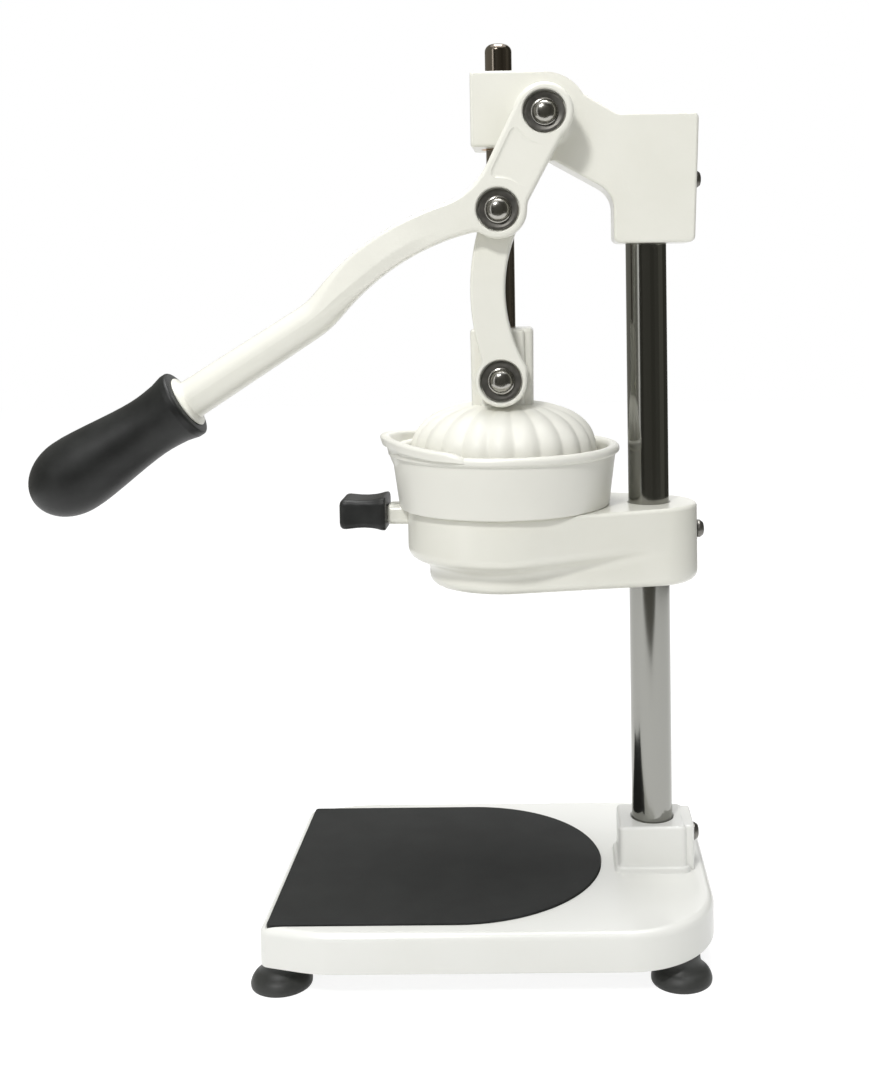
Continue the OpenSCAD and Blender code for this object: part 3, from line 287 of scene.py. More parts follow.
def place_at(made, across, up, along, place):
    """Turns an object by three directions, as the columns of its matrix, and puts it at place."""
    columns = np.column_stack([across, up, along, place])
    made.matrix_world = Matrix(np.vstack([columns, [0, 0, 0, 1]]).tolist())


def as_object(name, points, faces):
    """An object with a mesh of those points and faces."""
    mesh = bpy.data.meshes.new(name)
    mesh.from_pydata(points.tolist(), [], faces)
    return put(name, mesh)


def solid(first, add=(), cut=()):
    """The first shell joined with the shells in add and less those in cut, by exact Booleans."""
    body = as_object("shell", *first)
    tools = [(as_object("shell", *s), "UNION") for s in add]
    tools += [(as_object("shell", *s), "DIFFERENCE") for s in cut]
    for tool, operation in tools:
        step = body.modifiers.new(operation, "BOOLEAN")
        step.object, step.operation, step.solver = tool, operation, "EXACT"
    evaluated = body.evaluated_get(bpy.context.evaluated_depsgraph_get())
    result = bpy.data.meshes.new_from_object(evaluated)
    points = np.empty(len(result.vertices) * 3)
    result.vertices.foreach_get("co", points)
    faces = [list(p.vertices) for p in result.polygons]
    for made in [body] + [tool for tool, _ in tools]:
        mesh = made.data
        bpy.data.objects.remove(made)
        bpy.data.meshes.remove(mesh)
    bpy.data.meshes.remove(result)
    return points.reshape(-1, 3), faces


print("a turned ring of 4 by 96 points has", len(grid_faces(4, 96, wrap_rows=True)), "faces")

# %% [markdown]
# ## Finishes
# Each finish is one Principled surface with what the eye reads as that material: enamel has a faint
# orange peel, rubber a fine grain and a soft sheen, chrome almost no roughness. The patterns read
# Object coordinates, so they stay on a piece when the lever moves, and their scales come from
# millimetres. Colours are written as the screen shows them and turned into linear light by one
# function, because Blender mixes light and not screen values.

# %% Colour and node helpers
def screen(hex_colour):
    """A screen colour such as "E6E5DC" as linear light: the sRGB curve, channel by channel."""
    value = np.array([int(hex_colour[k:k + 2], 16) for k in (0, 2, 4)]) / 255
    linear = np.where(value <= 0.04045, value / 12.92, ((value + 0.055) / 1.055) ** 2.4)
    return (*linear.tolist(), 1.0)


def add_node(tree, kind, inputs=(), **settings):
    """Adds a node with its settings. inputs is a list of (socket name or number, value): another
    node's output is linked and anything else is set."""
    made = tree.nodes.new(kind)
    for name, value in settings.items():
        setattr(made, name, value)
    for socket, value in inputs:
        if isinstance(value, bpy.types.NodeSocket):
            tree.links.new(value, made.inputs[socket])
        else:
            made.inputs[socket].default_value = value
    return made


def empty_tree(owner):
    """The node tree of a material or a world, with nothing in it."""
    owner.use_nodes = True
    owner.node_tree.nodes.clear()
    return owner.node_tree


def finish(name, colour, roughness, mottle=None, mottle_mm=30.0, grain_mm=1.0, grain=0.0,
           rough_change=0.0, stretch=(1, 1, 1), **sockets):
    """A finish: broad noise moves the colour towards mottle, fine noise moves the roughness by
    rough_change, and the same fine noise, of grain_mm, gives a bump of strength grain."""
    made = bpy.data.materials.new(name)
    tree = empty_tree(made)
    place = add_node(tree, "ShaderNodeTexCoord").outputs["Object"]
    place = add_node(tree, "ShaderNodeMapping",
                     [("Vector", place), ("Scale", stretch)]).outputs["Vector"]
    surface = add_node(tree, "ShaderNodeBsdfPrincipled",
                       [("Roughness", roughness), ("Base Color", screen(colour))])
    add_node(tree, "ShaderNodeOutputMaterial", [("Surface", surface.outputs["BSDF"])])
    for socket, value in sockets.items():
        surface.inputs[socket.replace("_", " ")].default_value = value
    if mottle:
        broad = add_node(tree, "ShaderNodeTexNoise",
                         [("Vector", place), ("Scale", 1000 / mottle_mm), ("Detail", 4.0)])
        ramp = add_node(tree, "ShaderNodeValToRGB", [("Fac", broad.outputs["Fac"])])
        for stop, at, shade in zip(ramp.color_ramp.elements, (0.35, 0.7), (colour, mottle)):
            stop.position, stop.color = at, screen(shade)
        tree.links.new(ramp.outputs["Color"], surface.inputs["Base Color"])
    if rough_change or grain:
        fine = add_node(tree, "ShaderNodeTexNoise",
                        [("Vector", place), ("Scale", 1000 / grain_mm), ("Detail", 2.0)])
    if rough_change:
        spread = add_node(tree, "ShaderNodeMapRange", [
            ("Value", fine.outputs["Fac"]), ("To Min", roughness - rough_change),
            ("To Max", roughness + rough_change)])
        tree.links.new(spread.outputs["Result"], surface.inputs["Roughness"])
    if grain:
        bump = add_node(tree, "ShaderNodeBump", [
            ("Height", fine.outputs["Fac"]), ("Strength", grain), ("Distance", grain_mm * MM / 4)])
        tree.links.new(bump.outputs["Normal"], surface.inputs["Normal"])
    return made


# %% The press's finishes
# Stove enamel flows before it hardens. The eye gets a gloss with a faint orange peel, and a tone
# that changes slowly with the coat's thickness.
enamel = finish("cream stove enamel on cast aluminium", "E7E6DC", 0.30, mottle="E3E2D7",
                mottle_mm=38, grain_mm=1.6, grain=0.10, rough_change=0.05, Coat_Weight=0.25,
                Coat_Roughness=0.12)
# The base is whiter and reads as one calm, glossy sheet, so no orange peel is drawn on it.
base_enamel = finish("white stove enamel on the base", "E9E9E4", 0.30, mottle="E6E6E0",
                     mottle_mm=60, Coat_Weight=0.3, Coat_Roughness=0.1)
# Moulded plastic gives an even satin without depth. Real moulding grain is too fine to show here
# and is drawn at 0.9 mm.
plastic = finish("white moulded plastic", "EAE9E0", 0.46, mottle="E7E6DC", mottle_mm=45,
                 grain_mm=0.9, grain=0.04, rough_change=0.05)
# The bowl looks greyer in the photograph, and is given a little more gloss.
bowl_plastic = finish("greyer white moulded plastic of the bowl", "E4E3DA", 0.34, mottle="E1E0D7",
                      mottle_mm=45, grain_mm=0.9, grain=0.04, rough_change=0.05)
# A matt grain turns rubber's highlights into a soft sheen. The grain of all three rubbers is drawn
# at 0.5 to 0.6 mm, coarser than real, so that it shows.
rubber = finish("black moulded rubber", "181918", 0.46, mottle="252625", mottle_mm=14,
                grain_mm=0.5, grain=0.18, rough_change=0.08, Specular_IOR_Level=0.35,
                Sheen_Weight=0.04, Sheen_Roughness=0.4)
# The feet look greyer than the grip and the cap, so their rubber is a shade lighter.
foot_rubber = finish("grey-black foot rubber", "333432", 0.5, mottle="3A3B39", mottle_mm=9,
                     grain_mm=0.5, grain=0.18, rough_change=0.08, Specular_IOR_Level=0.45)
# Rolled sheet rubber is the dullest surface here: it shows tone and hardly any highlight.
mat_rubber = finish("matt black sheet rubber", "242524", 0.72, mottle="292A29", mottle_mm=22,
                    grain_mm=0.6, grain=0.30, rough_change=0.08, Specular_IOR_Level=0.3)
# Polished chrome mirrors the room in long bands. Polishing lines are too fine to show and are
# drawn as streaks 6 mm wide along the tube.
chrome = finish("polished chrome", "94948F", 0.13, grain_mm=6, rough_change=0.02,
                stretch=(1, 1, 0.15), Metallic=1.0)
# The rod is darker and warmer than the column. Grinding lines are drawn as streaks 3 mm wide.
rod_chrome = finish("dark hard chrome", "9C9388", 0.13, mottle="877D72", mottle_mm=8, grain_mm=3,
                    rough_change=0.04, stretch=(1, 1, 0.08), Metallic=1.0)
# Polished screw heads give small bright highlights with soft ends. Polishing marks are too fine
# to show and are drawn at 1.2 mm.
bright_steel = finish("bright polished steel", "A9A7A1", 0.2, grain_mm=1.2, rough_change=0.05,
                      Metallic=1.0)
# Blackened steel glints dully through an uneven dark oxide, drawn in patches of some 4 mm.
dark_steel = finish("blackened steel", "84827D", 0.36, mottle="6C6A66", mottle_mm=4, grain_mm=0.7,
                    rough_change=0.08, grain=0.06, Metallic=0.85)
# Oiled bronze is warm, and darker where the oil stands, drawn in patches of some 5 mm. No
# photograph shows the bushes, so this finish is a guess.
bronze = finish("oiled bronze", "B98F52", 0.33, mottle="A67C43", mottle_mm=5, grain_mm=0.8,
                rough_change=0.06, Metallic=1.0)
print(len(bpy.data.materials), "materials")

# %% [markdown]
# ## From a shell to a piece
# A piece is finished in one place: its points go to metres, its volume shows that its faces point
# outwards, its smooth faces and sharp edges are told apart by angle, it is tied to the body that it
# moves with, and the CAD nodes that it stands for are hidden.

# %% Dress a node
SHARP_ANGLE = math.radians(32)


def volume(mesh):
    """A sixth of the sum, over all triangles, of the first corner dotted with the cross of the
    other two."""
    mesh.calc_loop_triangles()
    corners = np.empty(len(mesh.loop_triangles) * 3, np.int32)
    mesh.loop_triangles.foreach_get("vertices", corners)
    points = np.empty(len(mesh.vertices) * 3)
    mesh.vertices.foreach_get("co", points)
    a, b, c = points.reshape(-1, 3)[corners.reshape(-1, 3)].transpose(1, 0, 2)
    return float((a * np.cross(b, c)).sum() / 6)


def dress(name, shell, material, *nodes, body="root", level=True):
    """Makes the piece that stands for the nodes. level keeps broad flat faces looking flat."""
    points, faces = shell
    piece = as_object(name, (points + PRESS_AXIS) * MM, faces)
    mesh = piece.data
    if volume(mesh) < 0:
        mesh.flip_normals()
    mesh.shade_smooth()
    mesh.set_sharp_from_angle(angle=SHARP_ANGLE)
    mesh.materials.append(material)
    if level:
        piece.modifiers.new("level faces", "WEIGHTED_NORMAL").keep_sharp = True
    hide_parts(*nodes)
    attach(piece, body)
    print(f"{name}: {len(faces)} faces, {volume(mesh) * 1e6:.1f} cm3")


# %% [markdown]
# ## Base
# The base is a hollow aluminium casting, wide and low so that the press can't tip when the lever is
# pulled. Its left end narrows a little and its right corners are broad. It could be a cube with
# bevels, but its outline has four different corners, so a skin is carried round that outline: up
# the hollow inside, round the lower edge, up the wall and over the soft top edge.

# %% The base casting and its socket
BASE_LEFT, BASE_RIGHT, BASE_HALF = -122.5, 106.5, 84
FOOT_SPOTS = [(x, y) for y in (-62, 62) for x in (-114, 87.5)]
MAT_CENTRE, MAT_R, MAT_LEFT, MAT_GAP = [-24.4, 0], 74, -119, 0.4


def lock_hole(height):
    """The bore of a lock screw, from the column's axis out to the right."""
    return cylinder(LOCK_BORE, 0, 60, (COLUMN_X, 0, height), TO_COLUMN, 32)


base_outline = even(rounded([
    [BASE_LEFT, -75, 6], [-92.5, -BASE_HALF, 60], [BASE_RIGHT, -BASE_HALF, 46],
    [BASE_RIGHT, BASE_HALF, 46], [-92.5, BASE_HALF, 60], [BASE_LEFT, 75, 6]], turn_step=3), 1.6)
base_profile = [[5, 29.5], [5, 15.3], [4.6, 14.6], [4, 14.5], [1.0, 14.5], [0.4, 14.7], [0.1, 15.3]]
socket_foot = [[-3.4, 33.2], [-3.4, 34.5], [-2.5, 34.8], [-2.1, 35.5], [-2.0, 36.6], [-1.7, 37.2],
               [-1.1, 37.5], [-0.5, 37.8], [-0.1, 38.6], [0, 40]]
socket_outline = box_line((59.1, -17), (95.3, 17), 3, 1.5)
flange_outline = box_line((88, -14.5), (99.6, 14.5), (1.5, 2, 2, 1.5), 1.2)
mat_recess = np.concatenate([
    arc(MAT_CENTRE, MAT_R + MAT_GAP, -90, 90),
    [[MAT_LEFT - MAT_GAP, MAT_R + MAT_GAP], [MAT_LEFT - MAT_GAP, -MAT_R - MAT_GAP]]])
socket_bore = rounded([[0, COLUMN_FOOT, 0], [COLUMN_BORE, COLUMN_FOOT, 0], [COLUMN_BORE, 58.2, 1],
                       [13.2, 60.3, 0], [0, 60.3, 0]], closed=False)
base_shell = solid(
    skin(base_outline, base_profile + quarter(4, BASE_TOP, 7)),
    add=[skin(socket_outline, socket_foot + quarter(2, 59, 6)),
         skin(flange_outline, soft_block(33.2, 58.7, 1.2)),
         cylinder(17.15, 16, 31, COLUMN_AXIS)]
        + [cylinder(8, 14.6, 31, (x, y, 0), around=48) for x, y in FOOT_SPOTS],
    cut=[skin(mat_recess, [[0, 33.3], [0, 36]]), turned(socket_bore, COLUMN_AXIS),
         cylinder(4.1, 10, 23, COLUMN_AXIS, around=32), lock_hole(SOCKET_LOCK)]
        + [cylinder(2.6, 10, 28, (x, y, 0), around=24) for x, y in FOOT_SPOTS])
dress("enamelled_base", base_shell, base_enamel, "base_casting")

# %% [markdown]
# A sheet of plain rubber lies in a shallow recess, so that what stands there doesn't slide. It
# stands one millimetre proud. Its outline is a straight end and, towards the column, a half circle.

# %% The mat
mat_end = rounded([[MAT_CENTRE[0], MAT_R, 0], [MAT_LEFT, MAT_R, 1.5], [MAT_LEFT, -MAT_R, 1.5],
                   [MAT_CENTRE[0], -MAT_R, 0]], closed=False)[1:-1]
mat_outline = even(np.concatenate([arc(MAT_CENTRE, MAT_R, -90, 90), mat_end]), 1.6)
mat_profile = [[0, 33.32], [0, 34.9], [0.1, 35.2], [0.35, 35.42], [0.7, 35.5]]
dress("rubber_mat", skin(mat_outline, mat_profile), mat_rubber, "base_mat")

# %% [markdown]
# The feet are moulded rubber cups with a thick neck, turned from one profile: down the outside,
# under the ring that touches the worktop, and up the hollow to the seat of its screw.

# %% The feet
foot_profile = np.concatenate([
    [[2.7, 14.45], [9.5, 14.45], [9.5, 12.2]],
    rounded([[9.7, 10.2, 0], [11.2, 7.6, 6], [14.4, 5.2, 7], [15.5, 1.8, 2.5], [15.3, 0.0, 0.6],
             [13, 0, 0.5], [8.4, 5.0, 3], [6.1, 5.9, 0.4], [6.1, 9, 0.2]], closed=False),
    [[2.7, 9]]])
FEET = ("foot_front_left", "foot_front_right", "foot_rear_left", "foot_rear_right")
for spot, node in zip(FOOT_SPOTS, FEET):
    dress("rubber_" + node, turned(foot_profile, (*spot, 0), around=64, ring=True), foot_rubber,
          node, level=False)

# %% [markdown]
# ## Column
# The column is a chromed steel tube, set in the socket and locked by a screw. A turned ring keeps it
# a tube, so that its open lower end is right from below.

# %% The column and the three lock screws
tube = rounded([[8, COLUMN_FOOT, 0.4], [COLUMN_R, COLUMN_FOOT, 0.6], [COLUMN_R, COLUMN_TOP, 0.6],
                [8, COLUMN_TOP, 0.4]])
dress("chromed_column", turned(tube, COLUMN_AXIS, around=128, ring=True), chrome, "column",
      level=False)

screw_head = rounded([[3, 0, 0], [4.8, 0, 0.3], [4.8, 1.4, 0.5], [3.4, 3.3, 1.4], [1.5, 3.8, 0.3],
                      [1.5, 2.2, 0.2], [0, 2.2, 0]], closed=False)
for node, face_x, height in (("socket_screw", 99.6, SOCKET_LOCK), ("arm_screw", 104, ARM_LOCK),
                             ("head_screw", 104.15, HEAD_LOCK)):
    tip = COLUMN_X + COLUMN_R + 0.1 - face_x
    screw = turned(np.concatenate([[[0, tip], [3, tip]], screw_head]), (face_x, 0, height),
                   TO_COLUMN, around=40)
    dress("domed_" + node, screw, dark_steel, node, level=False)

# %% [markdown]
# ## Arm
# The arm is one casting: a ring that carries the bowl, a smaller hub under it, and a body that
# reaches back to the column. Seen from below, the hollow between ring and hub runs out to nothing
# at the column. So both outlines are made with the same number of points and the surface slides
# from one to the other on its way up.

# %% The arm with its ring and hub
def belt(big, small, reach):
    """A circle round the press axis, a smaller one round the column, and the two straight sides
    that touch both: they leave at the angle whose cosine is (big - small) / reach."""
    lean = math.degrees(math.acos((big - small) / reach))
    big_turn, small_turn = np.linspace(lean, 360 - lean, 150), np.linspace(-lean, lean, 60)
    circles = [on_circle((0, 0), big, np.radians(big_turn)),
               on_circle((reach, 0), small, np.radians(small_turn))]
    share = np.linspace(0, 1, 42)[1:-1, None]
    sides = [a[-1] + (b[0] - a[-1]) * share for a, b in (circles, circles[::-1])]
    return np.concatenate([circles[0], sides[0], circles[1], sides[1]])


ring_line, hub_line = belt(52.5, 26, COLUMN_X), belt(41, 26, COLUMN_X)
ring_in, hub_in = inwards(ring_line), inwards(hub_line)
count = len(ring_line)
arm_points = []
for t in np.radians(np.linspace(0, 90, 6)):
    height = np.full(count, HUB_BOTTOM + 5 * (1 - math.cos(t)))
    arm_points.append(np.column_stack([hub_line + hub_in * (5 * (1 - math.sin(t))), height]))

# From hub to ring: how much of the hub's outline is left, and how far above the fold.
fold = RING_BOTTOM + 4.5 * np.clip(ring_line[:, 0] / 70, 0, 1) ** 1.5
for share, rise in [(1, -8), (0.985, -6.6), (0.94, -5.2), (0.86, -3.9), (0.74, -2.9), (0.58, -2.0),
                    (0.42, -1.3), (0.27, -0.5), (0.14, 0.6), (0.05, 2.2), (0.01, 3.8), (0, 5.5)]:
    arm_points.append(np.column_stack([ring_line * (1 - share) + hub_line * share, fold + rise]))
for inset, height in quarter(2, ARM_TOP, 6):
    arm_points.append(np.column_stack([ring_line + ring_in * inset, np.full(count, height)]))

tab_profile = [[-1.6, 46], [-1.5, 61.5], [-1.1, 62.8], [0, 63.4], [0, 80], [0.5, 80.5]]
tab_points, tab_faces = skin(box_line((-6, -4), (6, 4), 2.2, 0.8), tab_profile)
tab_points = np.stack([-tab_points[:, 2], tab_points[:, 0], tab_points[:, 1] + TAB_Z], 1)
bowl_seat = rounded([[0, 211, 0], [46, 211, 0], [46, 230.8, 0.6], [47.4, 232.4, 0], [0, 232.4, 0]],
                    closed=False)
arm_bore = rounded([[0, 180, 0], [COLUMN_BORE, 180, 0], [COLUMN_BORE, 230.9, 0.5],
                    [12.8, 232.5, 0], [0, 232.5, 0]], closed=False)
arm_shell = solid(
    (np.concatenate(arm_points), capped(len(arm_points), count)),
    add=[(tab_points, [face[::-1] for face in tab_faces])],
    cut=[turned(bowl_seat), cylinder(37, 180, 220), turned(arm_bore, COLUMN_AXIS),
         lock_hole(ARM_LOCK)])
dress("enamelled_arm", arm_shell, enamel, "bowl_arm")

# %% [markdown]
# A thumb tab sticks out on the left under a pushed-on rubber cap. The cap is drawn in at its middle
# and flares at its open end, so its outline is scaled as it travels along the tab: out along the
# inside, round the open end, and back along the outside to the closed end.

# %% The rubber cap on the tab
CAP_AROUND = 96


def cap_row(distance, half_y, half_z, corner, middle_z):
    """The cap's outline at a distance left of the press axis, as CAP_AROUND points."""
    line = box_line((-half_y, -half_z), (half_y, half_z), corner, 0.8)
    line = line[np.linspace(0, len(line), CAP_AROUND, endpoint=False).astype(int)]
    return np.column_stack([np.full(CAP_AROUND, -distance), line[:, 0], line[:, 1] + middle_z])


cap_rows = [cap_row(distance, 6.1, 4.1, 1.2, TAB_Z) for distance in (80.6, 66, 63.6)]
cap_rows += [cap_row(distance, 14 + grow, 9 + grow, 4.2 + grow, TAB_Z + 1.2) for distance, grow in [
    (63.5, -1.2), (63.8, -0.35), (64.6, 0), (66.3, -0.2), (68, -0.7), (71, -1.3), (75, -1.6),
    (79, -1.5), (83, -1.1), (85, -0.9), (86.4, -1.0), (87.4, -1.5), (88.1, -2.4), (88.5, -3.9)]]
dress("rubber_cap", (np.concatenate(cap_rows), capped(len(cap_rows), CAP_AROUND)), rubber,
      "tab_cap")

# %% [markdown]
# ## Bowl
# The bowl is moulded plastic: an outlet, a funnel, a seat on the arm's ring, a flared wall and a
# rolled rim. All of that is one profile turned round the axis. The pouring lip isn't round, so it
# is a second surface: a thin leaning wall round the left of the rim. It rises and swells out most
# at its middle, and falls away on both sides until it sinks into the rim.

# %% The bowl and its lip
bowl_profile = rounded([
    [10.5, 192, 0.5], [13, 192, 0.5], [13, 203, 3], [45.7, 217, 2.5], [45.7, 231.5, 0.8],
    [56.7, 231.5, 1.1], [60.3, 259.0, 0.8], [62.5, 260.2, 1.3], [62.5, RIM_TOP, 2.4],
    [56.4, RIM_TOP, 3.0], [56.2, 257, 4], [53.7, 239.5, 1], [52.9, 237.5, 0.4], [47.6, 237.5, 0.6],
    [42.7, 232.5, 1], [42.7, 220, 2.5], [10.5, 206, 3]])
bowl_shell = turned(bowl_profile, around=160, ring=True)

LIP_REACH, LIP_TOWARDS_USER, LIP_ROUND = 66, 8, 1.8
away = np.linspace(-1, 1, 141)  # -1 and 1 at the lip's ends, 0 at its middle
lip_turn = np.radians(180 + LIP_TOWARDS_USER + LIP_REACH * away)
away = np.abs(away)
swell = np.cos(away * np.pi / 2)
shoulder = np.clip((away - 0.14) / 0.3, 0, 1)
shoulder = shoulder ** 2 * (3 - 2 * shoulder)
nose = 1 - np.sqrt(1 - np.clip((away - 0.82) / 0.18, 0, 1) ** 2)
top_r = 62.0 + 3.3 * swell ** 1.2 - 0.9 * nose
top_z = RIM_TOP + 2.1 + 4.7 * swell ** 1.5 - 4.3 * nose
foot_r = 59.7 + 3.1 * shoulder ** 3 - 1.0 * nose
foot_z = RIM_TOP - 9.4 + 7.6 * shoulder - 1.2 * nose
round_z = np.minimum(LIP_ROUND, 0.75 * (top_z - foot_z))
# The section goes up the outside, over the round top and down the inside. Each step says how far
# inside the outer face it lies, how far up the wall, and how far up the round top.
section = [(0, share, 0) for share in np.linspace(0, 1, 15)]
section += [(LIP_ROUND * (1 - math.cos(t)), 1, math.sin(t))
            for t in np.radians(np.linspace(15, 165, 11))]
section += [(2 * LIP_ROUND, share, 0) for share in np.linspace(1, 0, 7)]
lip_rows = []
for across, share, rise in section:
    height = foot_z + (top_z - round_z - foot_z) * share + round_z * rise
    rolled = np.clip((height - top_z + 6.4) / 1.8, 0, 1)
    radius = foot_r + (top_r - foot_r) * ((height - foot_z) / (top_z - foot_z)) ** 0.85 - across
    radius += 1.8 * rolled ** 2 * (3 - 2 * rolled) * (across < LIP_ROUND) * (1 - nose)
    lip_rows.append(np.column_stack([radius * np.cos(lip_turn), radius * np.sin(lip_turn), height]))
row_count, lip_count = len(lip_rows), len(lip_turn)
lip_faces = grid_faces(row_count, lip_count, wrap_cols=False, wrap_rows=True)
lip_faces += [[k * lip_count for k in range(row_count)][::-1],
              [k * lip_count + lip_count - 1 for k in range(row_count)]]
dress("juice_bowl", together(bowl_shell, (np.concatenate(lip_rows), lip_faces)), bowl_plastic,
      "bowl", "bowl_spout", level=False)

# %% [markdown]
# ## Reamer cone and bell
# Both grip the fruit with flutes. A smooth dome could carry carved grooves, but real flutes are part
# of the mould: the radius itself swings round the shell. Each lobe is half a sine wave, so the
# lobes are round and the valleys between them narrow, and the swing fades out at rim and top.

# %% Fluted shells
def fluted(outer, inner, lobes, depth, fade, per_lobe=16):
    """Outer point (k, j) has radius outer[k][0] - depth * fade[k] * (1 - s), where s is the size of
    the sine of half a turn per lobe, softened where it is small; the inner wall is round."""
    t = np.linspace(0, 2 * np.pi, lobes * per_lobe, endpoint=False)
    swing = np.sqrt(np.sin(t * lobes / 2) ** 2 + 0.012) / math.sqrt(1.012)
    radius = np.concatenate([outer[:, 0, None] - depth * fade[:, None] * (1 - swing),
                             np.repeat(inner[::-1, 0, None], len(t), 1)])
    height = np.concatenate([outer[:, 1], inner[::-1, 1]])
    height = np.repeat(height[:, None], len(t), 1)
    points = np.stack([radius * np.cos(t), radius * np.sin(t), height], -1)
    return points.reshape(-1, 3), grid_faces(len(height), len(t), wrap_rows=True)


share = np.linspace(0, 1, 33)


def cone_line(wall, tip):
    """From the cone's foot to its tip: the radius falls as (1 - share^1.6)^0.75."""
    radius = np.maximum(tip, (39 - wall) * (1 - share ** 1.6) ** 0.75)
    return np.column_stack([radius, 239 + (35.2 - wall) * share])


cone_fade = np.sin(np.pi * np.minimum(1, share * 0.97 + 0.03))
cone_shell = fluted(cone_line(0, 0.6), cone_line(3, 0.3), 12, 4, cone_fade, per_lobe=20)
tip_button = turned([[0, 269], [2.2, 270.5], [2.0, 273.2], [1.2, 274.0], [0, 274.2]], around=32)
dress("fluted_cone", together(cone_shell, tip_button), plastic, "reamer_cone", level=False)


def bell_line(inset):
    """From the rim up a straight skirt, over a dome, to the hole. The dome's radius and height are
    those powers of cosine and sine that make an ellipse with fuller shoulders."""
    turn = np.radians(np.linspace(0, 80.5, 36))
    dome = np.column_stack([(50.5 - inset) * np.cos(turn) ** 0.8,
                            DOME_FOOT + (28.4 - inset) * np.sin(turn) ** 0.8])
    skirt = np.column_stack([np.linspace(51 - inset, 50.5 - inset, 8)[:-1],
                             np.linspace(BELL_BOTTOM, DOME_FOOT, 8)[:-1]])
    return np.concatenate([skirt, dome, [[10, dome[-1, 1]], [8.1, dome[-1, 1]]]])


bell_outer = bell_line(0)
low_fade = np.clip((bell_outer[:, 1] - BELL_BOTTOM) / 6, 0, 1)
high_fade = np.clip((bell_outer[:, 0] - 14) / 9, 0, 1)
bell_fade = np.sin(low_fade * np.pi / 2) * np.sin(high_fade * np.pi / 2)
dress("fluted_bell", fluted(bell_outer, bell_line(4), 22, 2, bell_fade), plastic, "press_bell",
      body="ram", level=False)

# %% [markdown]
# ## Yoke and push rod
# The yoke joins the rod to the bell and carries the link's lower pivot. It is a block with a raised
# pad in front and a round boss behind the link.

# %% The yoke
block = box_line((-16.75, -14), (16.75, 14), 2.5, 1.2)
pad = box_line((-12.25, -17), (12.25, -8), (2.2, 2.2, 2, 2), 0.9)
chamfer = [[0, YOKE_TOP - 2.2], [0.25, YOKE_TOP - 1.2], [0.8, YOKE_TOP - 0.5], [1.8, YOKE_TOP]]
yoke_boss = rounded([[0, 0, 0], [9, 0, 0], [9, 21.2, 0.6], [0, 21.2, 0]], closed=False)
rod_hole = [[0, 309], [7.3, 309], [7.3, YOKE_TOP - 0.6], [8.2, YOKE_TOP + 1], [0, YOKE_TOP + 1]]
yoke_shell = solid(
    skin(block, [[0.4, 284.0]] + chamfer),
    add=[skin(pad, [[0.4, 284.2]] + [[inset, z - 0.4] for inset, z in chamfer]),
         turned(yoke_boss, (0, 0, YOKE_Z), TO_USER)],
    cut=[turned(rod_hole), pivot_bore(YOKE_PIVOT, -30, 30)])
dress("enamelled_yoke", yoke_shell, enamel, "ram_yoke", body="ram")

# %% The push rod
rod_profile = rounded([[0, 309, 0], [7.25, 309, 0.3], [7.25, 479, 4.2], [0, 479, 0]], closed=False,
                      turn_step=6)
dress("hard_chromed_rod", turned(rod_profile), rod_chrome, "push_rod", body="ram", level=False)

# %% [markdown]
# ## Head
# The head clamps the column's top and guides the rod. It is a thick plate with a sloping web between
# the two blocks. A skin stands upright for it: the outline is in x and z, and the profile runs from
# back to front with soft edges. The boss in front carries the lever's pivot.

# %% The head casting
head_outline = even(rounded([
    [-14.7, 422.7, 1.2], [15.6, 422.7, 6], [60.1, 397.6, 14], [60.1, 371.3, 3.4],
    [102.8, 371.3, 3.4], [105.5, 439.6, 3.2], [62.5, 439.6, 6], [24.4, 462.5, 7],
    [-14.7, 462.5, 1.5]], turn_step=4), 1.3)
head_boss = np.concatenate([[[0, 14], [23.5, 14], [23.5, 17.9]], rounded([
    [21.5, 18.0, 0], [14.2, 18.6, 5], [13, 24.5, 4], [13, 32.7, 0.8], [0, 32.7, 0]], closed=False)])
head_bore = [[0, 360], [12.2, 360], [12.2, 370.9], [COLUMN_BORE, 372], [COLUMN_BORE, COLUMN_TOP],
             [0, COLUMN_TOP]]
head_lock = [[0, 0], [LOCK_BORE, 0], [LOCK_BORE, 26.0], [5.4, 26.0], [5.4, 60], [0, 60]]
head_shell = solid(
    skin(head_outline, soft_block(-18, 18, 1.7), upright=True),
    add=[turned(head_boss, (HEAD_PIVOT[0], 0, HEAD_PIVOT[1]), TO_USER)],
    cut=[cylinder(9.8, 410, 470), turned(head_bore, COLUMN_AXIS),
         pivot_bore(HEAD_PIVOT, -40, 40),
         turned(head_lock, (COLUMN_X, 0, HEAD_LOCK), TO_COLUMN, around=48)])
dress("enamelled_head", head_shell, enamel, "head")

# %% [markdown]
# ## Link
# The link carries the lever's pull down to the yoke. Its sides bow to the left to stay clear of the
# rod's guide. Half its width at each height is the softest greatest of three lines, two round
# bosses and the bowed band, so the waist flows into the bosses without a corner.

# %% The link
LINK_BOSS, NOWHERE = 13.5, -30  # NOWHERE takes a line out where it doesn't count


def soft_greatest(values, blend=0.7):
    """The logarithm of the sum of exponentials: the greatest value, rounded over blend mm."""
    return blend * np.log(np.exp(np.asarray(values) / blend).sum(0))


def bow(radius):
    """How far a circle of that radius has bent away from its tangent at the link's waist."""
    return radius - np.sqrt(radius ** 2 - (heights - 347.1) ** 2)


